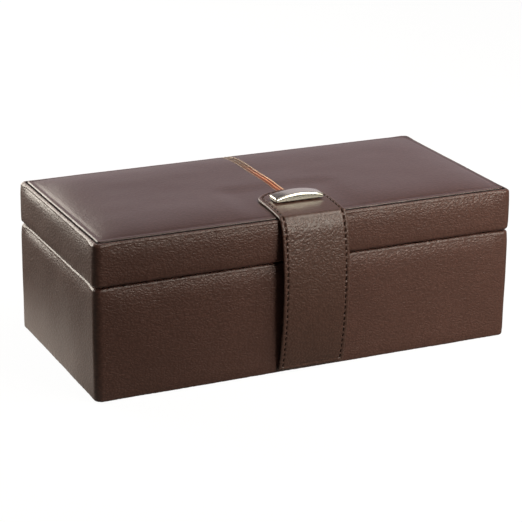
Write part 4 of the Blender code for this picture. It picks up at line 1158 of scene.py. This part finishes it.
def stuffed_cover(low, high):
    """A pillow's cover swollen by its filling: cloth under pressure, kept inside its room."""
    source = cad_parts["watch_pillow_1"]
    mesh = source.data.copy()
    mesh.transform(source.matrix_world)
    centre = (np.array(low) + np.array(high)) / 2
    move_corners(mesh, (corners_of(mesh) - centre) * PILLOW_START)
    cover = linked("pillow_cover", mesh)
    even = cover.modifiers.new("even", "REMESH")
    even.mode = "VOXEL"
    even.voxel_size = PILLOW_VOXEL
    mesh = evaluated_mesh(cover)
    cover.modifiers.clear()
    cover.data = mesh
    start = corners_of(mesh)
    swollen = start
    cloth = cover.modifiers.new("stuffed", "CLOTH")
    cloth.settings.use_pressure = True
    cloth.settings.uniform_pressure_force = PILLOW_PRESSURE
    cloth.settings.effector_weights.gravity = 0
    cloth.point_cache.frame_start, cloth.point_cache.frame_end = 1, PILLOW_FRAMES
    for number in range(1, PILLOW_FRAMES + 1):
        bpy.context.scene.frame_set(number)
    swollen = corners_of(evaluated_mesh(cover))
    cover.modifiers.clear()
    bpy.context.scene.frame_set(1)
    moved = swollen - start
    far = np.linalg.norm(moved, axis=1)[:, None]
    move_corners(mesh, start + moved * np.minimum(1, PILLOW_SWELL / np.maximum(far, 1e-9)))
    finer = cover.modifiers.new("finer", "SUBSURF")
    finer.levels = 1
    mesh = evaluated_mesh(cover)
    bpy.data.objects.remove(cover)
    return mesh


def build_pillows():
    """Five alike watch pillows of suede with a welt round each end."""
    half = (np.array(PILLOW_HIGH) - np.array(PILLOW_LOW)) / 2
    mesh = stuffed_cover(PILLOW_LOW, PILLOW_HIGH)
    points = corners_of(mesh)
    faces = [list(polygon.vertices) for polygon in mesh.polygons]
    welt_x = half[X] - WELT_INSET
    turn = np.arctan2(points[:, Z], points[:, Y])
    around = (turn + math.pi) * (half[Y] + half[Z]) / 2
    radial = np.column_stack([0 * turn, np.cos(turn), np.sin(turn)])
    for side in (-1, 1):
        off = points[:, X] - side * welt_x
        sunk = WELT_GROOVE * bump_at(off, WELT_GROOVE_WIDTH)
        sunk = sunk + gathers(around, off, GATHERS_ROUND_PILLOW, *WELT_GATHERS, 41 + side)
        points = points - radial * sunk[:, None]
    points = np.clip(points, PILLOW_MARGIN - half, half - PILLOW_MARGIN)
    parts = [points]
    angles = np.linspace(-math.pi, math.pi, WELT_STATIONS + 1)[:-1]
    bend = 2 * math.pi * np.arange(WELT_SIDES) / WELT_SIDES
    for side in (-1, 1):
        near = np.abs(points[:, X] - side * welt_x) < WELT_BAND
        order = np.argsort(turn[near])
        reach = np.hypot(points[near, Y], points[near, Z])[order]
        reach = np.interp(angles, turn[near][order], reach, period=2 * math.pi) + WELT_PROUD
        out = reach[:, None] + WELT_RADIUS * np.cos(bend)
        x = side * welt_x + WELT_RADIUS * np.sin(bend) + 0 * out
        welt = np.stack([x, out * np.cos(angles)[:, None], out * np.sin(angles)[:, None]], axis=-1)
        first = sum(len(part) for part in parts)
        parts.append(np.clip(welt.reshape(-1, 3), -half, half))
        faces += list(quads(WELT_STATIONS, WELT_SIDES, wrap_rows=True, wrap_columns=True) + first)
    pillow = new_piece("pillow_1", np.concatenate(parts), faces, PILLOW_SUEDE)
    for number in range(1, 6):
        name = f"watch_pillow_{number}"
        node_low, node_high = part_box(name)
        if number > 1:
            pillow = linked(f"pillow_{number}", pillow.data)
        pillow.location = (node_low + node_high) / 2
        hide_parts(name)
        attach(pillow, f"pillow_{number}")


def build_lid_pad():
    """The padded suede panel under the lid's top board, crowned downwards."""
    half_x, half_y, thick = PAD_HIGH.x, PAD_HIGH.y, PAD_HIGH.z - PAD_LOW.z
    xs = edged_lines(half_x, PAD_STEP, PAD_EDGE_CUT)
    ys = edged_lines(half_y, PAD_STEP, PAD_EDGE_CUT)
    x, y = rounded_grid(xs, ys, half_x, half_y, PAD_CORNER_RADIUS)
    to_x, to_y = half_x - np.abs(x), half_y - np.abs(y)
    inset = np.minimum(to_x, to_y)
    share = 1 - (1 - np.clip(inset / PAD_CROWN_REACH, 0, 1)) ** PAD_CROWN_POWER
    sag = level_ripples(x, y, PAD_RIPPLES, 51) * np.clip(inset / PAD_LEVEL_MARGIN, 0, 1)
    gathered = sum(
        gathers(along + half, across, 2 * half, *PAD_GATHERS, seed)
        for along, across, half, seed in ((x, to_y, half_x, 61), (y, to_x, half_y, 62))
    )
    hang = PAD_EDGE_SHARE * thick + PAD_CROWN_SHARE * thick * share + sag - gathered * (share > 0)
    under = PAD_HIGH.z - np.clip(hang, PAD_LEAST, thick)
    sheets = [np.stack([x, y, z], axis=-1).reshape(-1, 3) for z in (under, np.full_like(under, PAD_HIGH.z))]
    faces = list(quads(len(ys), len(xs)))
    faces += [face[::-1] + x.size for face in faces]
    loop = border_loop(len(ys), len(xs))
    faces += between(loop, loop + x.size)
    pad = new_piece("lid_lining_panel", np.concatenate(sheets), faces, SUEDE)
    pad.data.set_sharp_from_angle(angle=math.radians(60))
    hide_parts("lid_lining_pad")
    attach(pad, "lid")


def build_screws():
    """Small slotted screws that hold each hinge leaf: two half heads with the slot between."""
    y = HALF_DEPTH - SCREW_INSET
    angles = np.linspace(SLOT_ANGLE, math.pi - SLOT_ANGLE, SCREW_STEPS)
    count = len(angles)
    for name in ("left", "right"):
        for part, side, face_z in (("base", 1, BASE_HIGH.z), ("lid", -1, LID_LOW.z)):
            low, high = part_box(f"hinge_{name}_{part}_leaf")
            middle = (low.x + high.x) / 2
            points, faces = [], []
            for x in (middle - SCREW_SPREAD, middle, middle + SCREW_SPREAD):
                for half in (-1, 1):
                    base = len(points)
                    for rise, reach in SCREW_LEVELS:
                        points += [(x + SCREW_RADIUS * reach * math.cos(angle),
                                    y + half * SCREW_RADIUS * reach * math.sin(angle),
                                    face_z + side * rise) for angle in angles]
                    faces += list(quads(len(SCREW_LEVELS), count, wrap_columns=True) + base)
                    faces += [range(base, base + count), range(len(points) - count, len(points))]
            screws = new_piece(f"hinge_{name}_{part}_screws", points, faces, BRASS)
            screws.data.set_sharp_from_angle(angle=math.radians(35))
            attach(screws, part)


# Nodes that keep their own shape

def dress_nodes():
    """Finishes for the solids that show as they are."""
    words = (("lining", SUEDE), ("divider", SUEDE), ("shelf", SUEDE), ("board", BOARD), ("support", BOARD),
             ("felt", FELT), ("hinge", BRASS), ("nut", STEEL), ("magnet", STEEL))
    for name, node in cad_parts.items():
        for word, look in words:
            if word in name:
                node.data.materials.clear()
                node.data.materials.append(look)


# Studio

# Softboxes: where each stands and aims, its size, power, colour and spread in degrees
LAMPS = {
    "key": ((0.34, -0.14, 0.94), (0.05, -0.05, 0.08), (0.8, 0.55), 2.0, (1.0, 0.93, 0.84), 180),
    "rim": ((0.50, -0.42, 0.95), (0.1, -0.07, 0.1), (0.50, 0.40), 7.0, (1.0, 0.95, 0.84), 180),
    "front": ((0.38, -0.74, 0.43), (0.235, -0.07, 0.07), (0.50, 0.36), 1.18, (1.0, 0.96, 0.85), 58),
    "back_left": ((-0.52, 1.10, 0.50), (-0.12, 0, 0.08), (1.2, 0.8), 20.0, (1.0, 0.93, 0.82), 180),
    "side": ((-0.75, 0.85, 0.35), (-0.15, 0.02, 0.08), (0.4, 0.4), 3.0, (1.0, 0.93, 0.82), 180),
    "left": ((-0.36, 0.50, 0.16), (-0.15, 0.02, 0.09), (0.30, 0.22), 0.50, (1.0, 0.95, 0.84), 150),
}
# The surround: its diffuse light, and what mirrors see of it behind the box and before it
AMBIENT_COLOUR = (0.035, 0.035, 0.035)
BACK_COLOUR = (0.735, 0.65, 0.70)
FRONT_COLOUR = (0.02, 0.02, 0.02)
BACK_DIRECTION = (0.43, 0.90, 0.10)
BACK_REACH = (0.62, 0.92)
FLAG_DIRECTION = (0.200, 0.853, 0.482)
FLAG_REACH = (0.9938, 0.9952)
FLAG_COLOUR = (0.01, 0.01, 0.012)
WHITE = (1, 1, 1)
# The floor: what scatters light, what the camera sees, and what mirrors see from zone to zone
FLOOR_COLOUR = (0.30, 0.29, 0.28)
FLOOR_WHITE_SHARE = 0.82
FLOOR_GLOW = 1.17
FLOOR_HALF_WIDTH = 6.0
FLOOR_Z = -0.1 * MM
DIM_FLOOR_PLACE = (-0.24, -0.24, 0)
DIM_FLOOR_REACH = (0.10, 0.66)
DIM_FLOOR_COLOUR = (0.03, 0.03, 0.02)
BRIGHT_FLOOR_COLOUR = (0.32, 0.30, 0.26)
NEAR_FLOOR_PLACE = (-0.152, 0.018, 0)
NEAR_FLOOR_REACH = (0.012, 0.050)
NEAR_FLOOR_COLOUR = (1.25, 1.16, 1.02)
FRONT_FLOOR_PLACE = (0, -0.0735, 0)
FRONT_FLOOR_REACH = (0.015, 0.11)
FRONT_FLOOR_COLOUR = (0.20, 0.21, 0.18)


def build_camera():
    """The camera at the photograph's place."""
    data = bpy.data.cameras.new("camera")
    data.sensor_width = SENSOR_WIDTH
    data.lens = FOCAL_PIXELS / PHOTO_WIDTH * SENSOR_WIDTH
    data.clip_start, data.clip_end = 0.01, 50
    camera = linked("camera", data)
    turn = Matrix((CAMERA_RIGHT, CAMERA_UP, CAMERA_BACK)).transposed()
    camera.matrix_world = Matrix.Translation(CAMERA_PLACE) @ turn.to_4x4()
    bpy.context.scene.camera = camera


def area_light(name, place, aim, size, power, colour, spread):
    """A softbox."""
    data = bpy.data.lights.new(name, "AREA")
    data.shape = "RECTANGLE"
    data.size, data.size_y = size
    data.energy = power
    data.color = colour
    data.spread = math.radians(spread)
    light = linked(name, data)
    light.location = place
    light.rotation_euler = (Vector(place) - Vector(aim)).to_track_quat("Z", "Y").to_euler()


def by_ray(nodes, plain, mirror_colour, camera_shader, camera_share):
    """One shader for light that scatters, a colour for mirrors and a white for the camera."""
    path = nodes.add("LightPath").outputs
    mirror_ray = nodes.math("MAXIMUM", path["Is Glossy Ray"], path["Is Transmission Ray"])
    seen = nodes.add("Emission", mirror_colour)
    first = nodes.add("MixShader", mirror_ray, plain, seen.outputs[0])
    share = nodes.math("MULTIPLY", path["Is Camera Ray"], camera_share)
    return nodes.add("MixShader", share, first.outputs[0], camera_shader).outputs[0]


def graded(nodes, first, second, operation, reach, low, high):
    """A colour that goes smoothly from one to another with the distance or dot product of two places."""
    value = nodes.add("VectorMath", first, second, operation=operation).outputs["Value"]
    return nodes.blend(nodes.ranged(value, *reach, smooth=True), low, high)


def build_surround():
    """White for the camera, a soft light, and a bright back with one dark flag for mirrors."""
    bpy.context.scene.world = bpy.data.worlds.new("surround")
    nodes = Nodes(bpy.context.scene.world)
    toward = nodes.add("TexCoord").outputs["Generated"]
    mirrored = graded(nodes, toward, BACK_DIRECTION, "DOT_PRODUCT", BACK_REACH, FRONT_COLOUR, BACK_COLOUR)
    mirrored = graded(nodes, toward, FLAG_DIRECTION, "DOT_PRODUCT", FLAG_REACH, mirrored, FLAG_COLOUR)
    ambient = nodes.add("Background", AMBIENT_COLOUR, 1.0).outputs[0]
    white = nodes.add("Background", WHITE, 1.0).outputs[0]
    shown = by_ray(nodes, ambient, mirrored, white, 1.0)
    nodes.set(nodes.tree.nodes["World Output"].inputs["Surface"], shown)


def build_floor():
    """A white floor that keeps a faint shadow, and is darker or brighter in places for mirrors."""
    nodes = Nodes(bpy.data.materials.new("floor"))
    place = nodes.add("NewGeometry").outputs["Position"]
    mirrored = graded(
        nodes, place, DIM_FLOOR_PLACE, "DISTANCE", DIM_FLOOR_REACH, DIM_FLOOR_COLOUR, BRIGHT_FLOOR_COLOUR,
    )
    for stretch, middle, reach, colour in (
        ((0, 1, 0), FRONT_FLOOR_PLACE, FRONT_FLOOR_REACH, FRONT_FLOOR_COLOUR),
        ((1, 0.3, 1), NEAR_FLOOR_PLACE, NEAR_FLOOR_REACH, NEAR_FLOOR_COLOUR),
    ):
        mirrored = graded(nodes, nodes.scaled(place, stretch), middle, "DISTANCE", reach, colour, mirrored)
    matte = nodes.add("BsdfDiffuse", FLOOR_COLOUR).outputs[0]
    glow = nodes.add("Emission", WHITE, FLOOR_GLOW).outputs[0]
    shown = by_ray(nodes, matte, mirrored, glow, FLOOR_WHITE_SHARE)
    nodes.set(nodes.tree.nodes["Material Output"].inputs["Surface"], shown)
    reach = FLOOR_HALF_WIDTH
    mesh = bpy.data.meshes.new("floor")
    mesh.from_pydata([(-reach, -reach, 0), (reach, -reach, 0), (reach, reach, 0), (-reach, reach, 0)], [],
                     [(0, 1, 2, 3)])
    mesh.materials.append(nodes.owner)
    floor = linked("floor", mesh)
    floor.location.z = FLOOR_Z


def build_studio():
    """Softboxes, the surround and the floor."""
    bpy.context.scene.view_settings.view_transform = "Standard"
    for name, settings in LAMPS.items():
        area_light(name, *settings)
    build_surround()
    build_floor()


build_skins()
build_panel()
build_strap()
build_stitching()
build_seam()
build_bar()
build_pillows()
build_lid_pad()
build_screws()
dress_nodes()
build_camera()
build_studio()
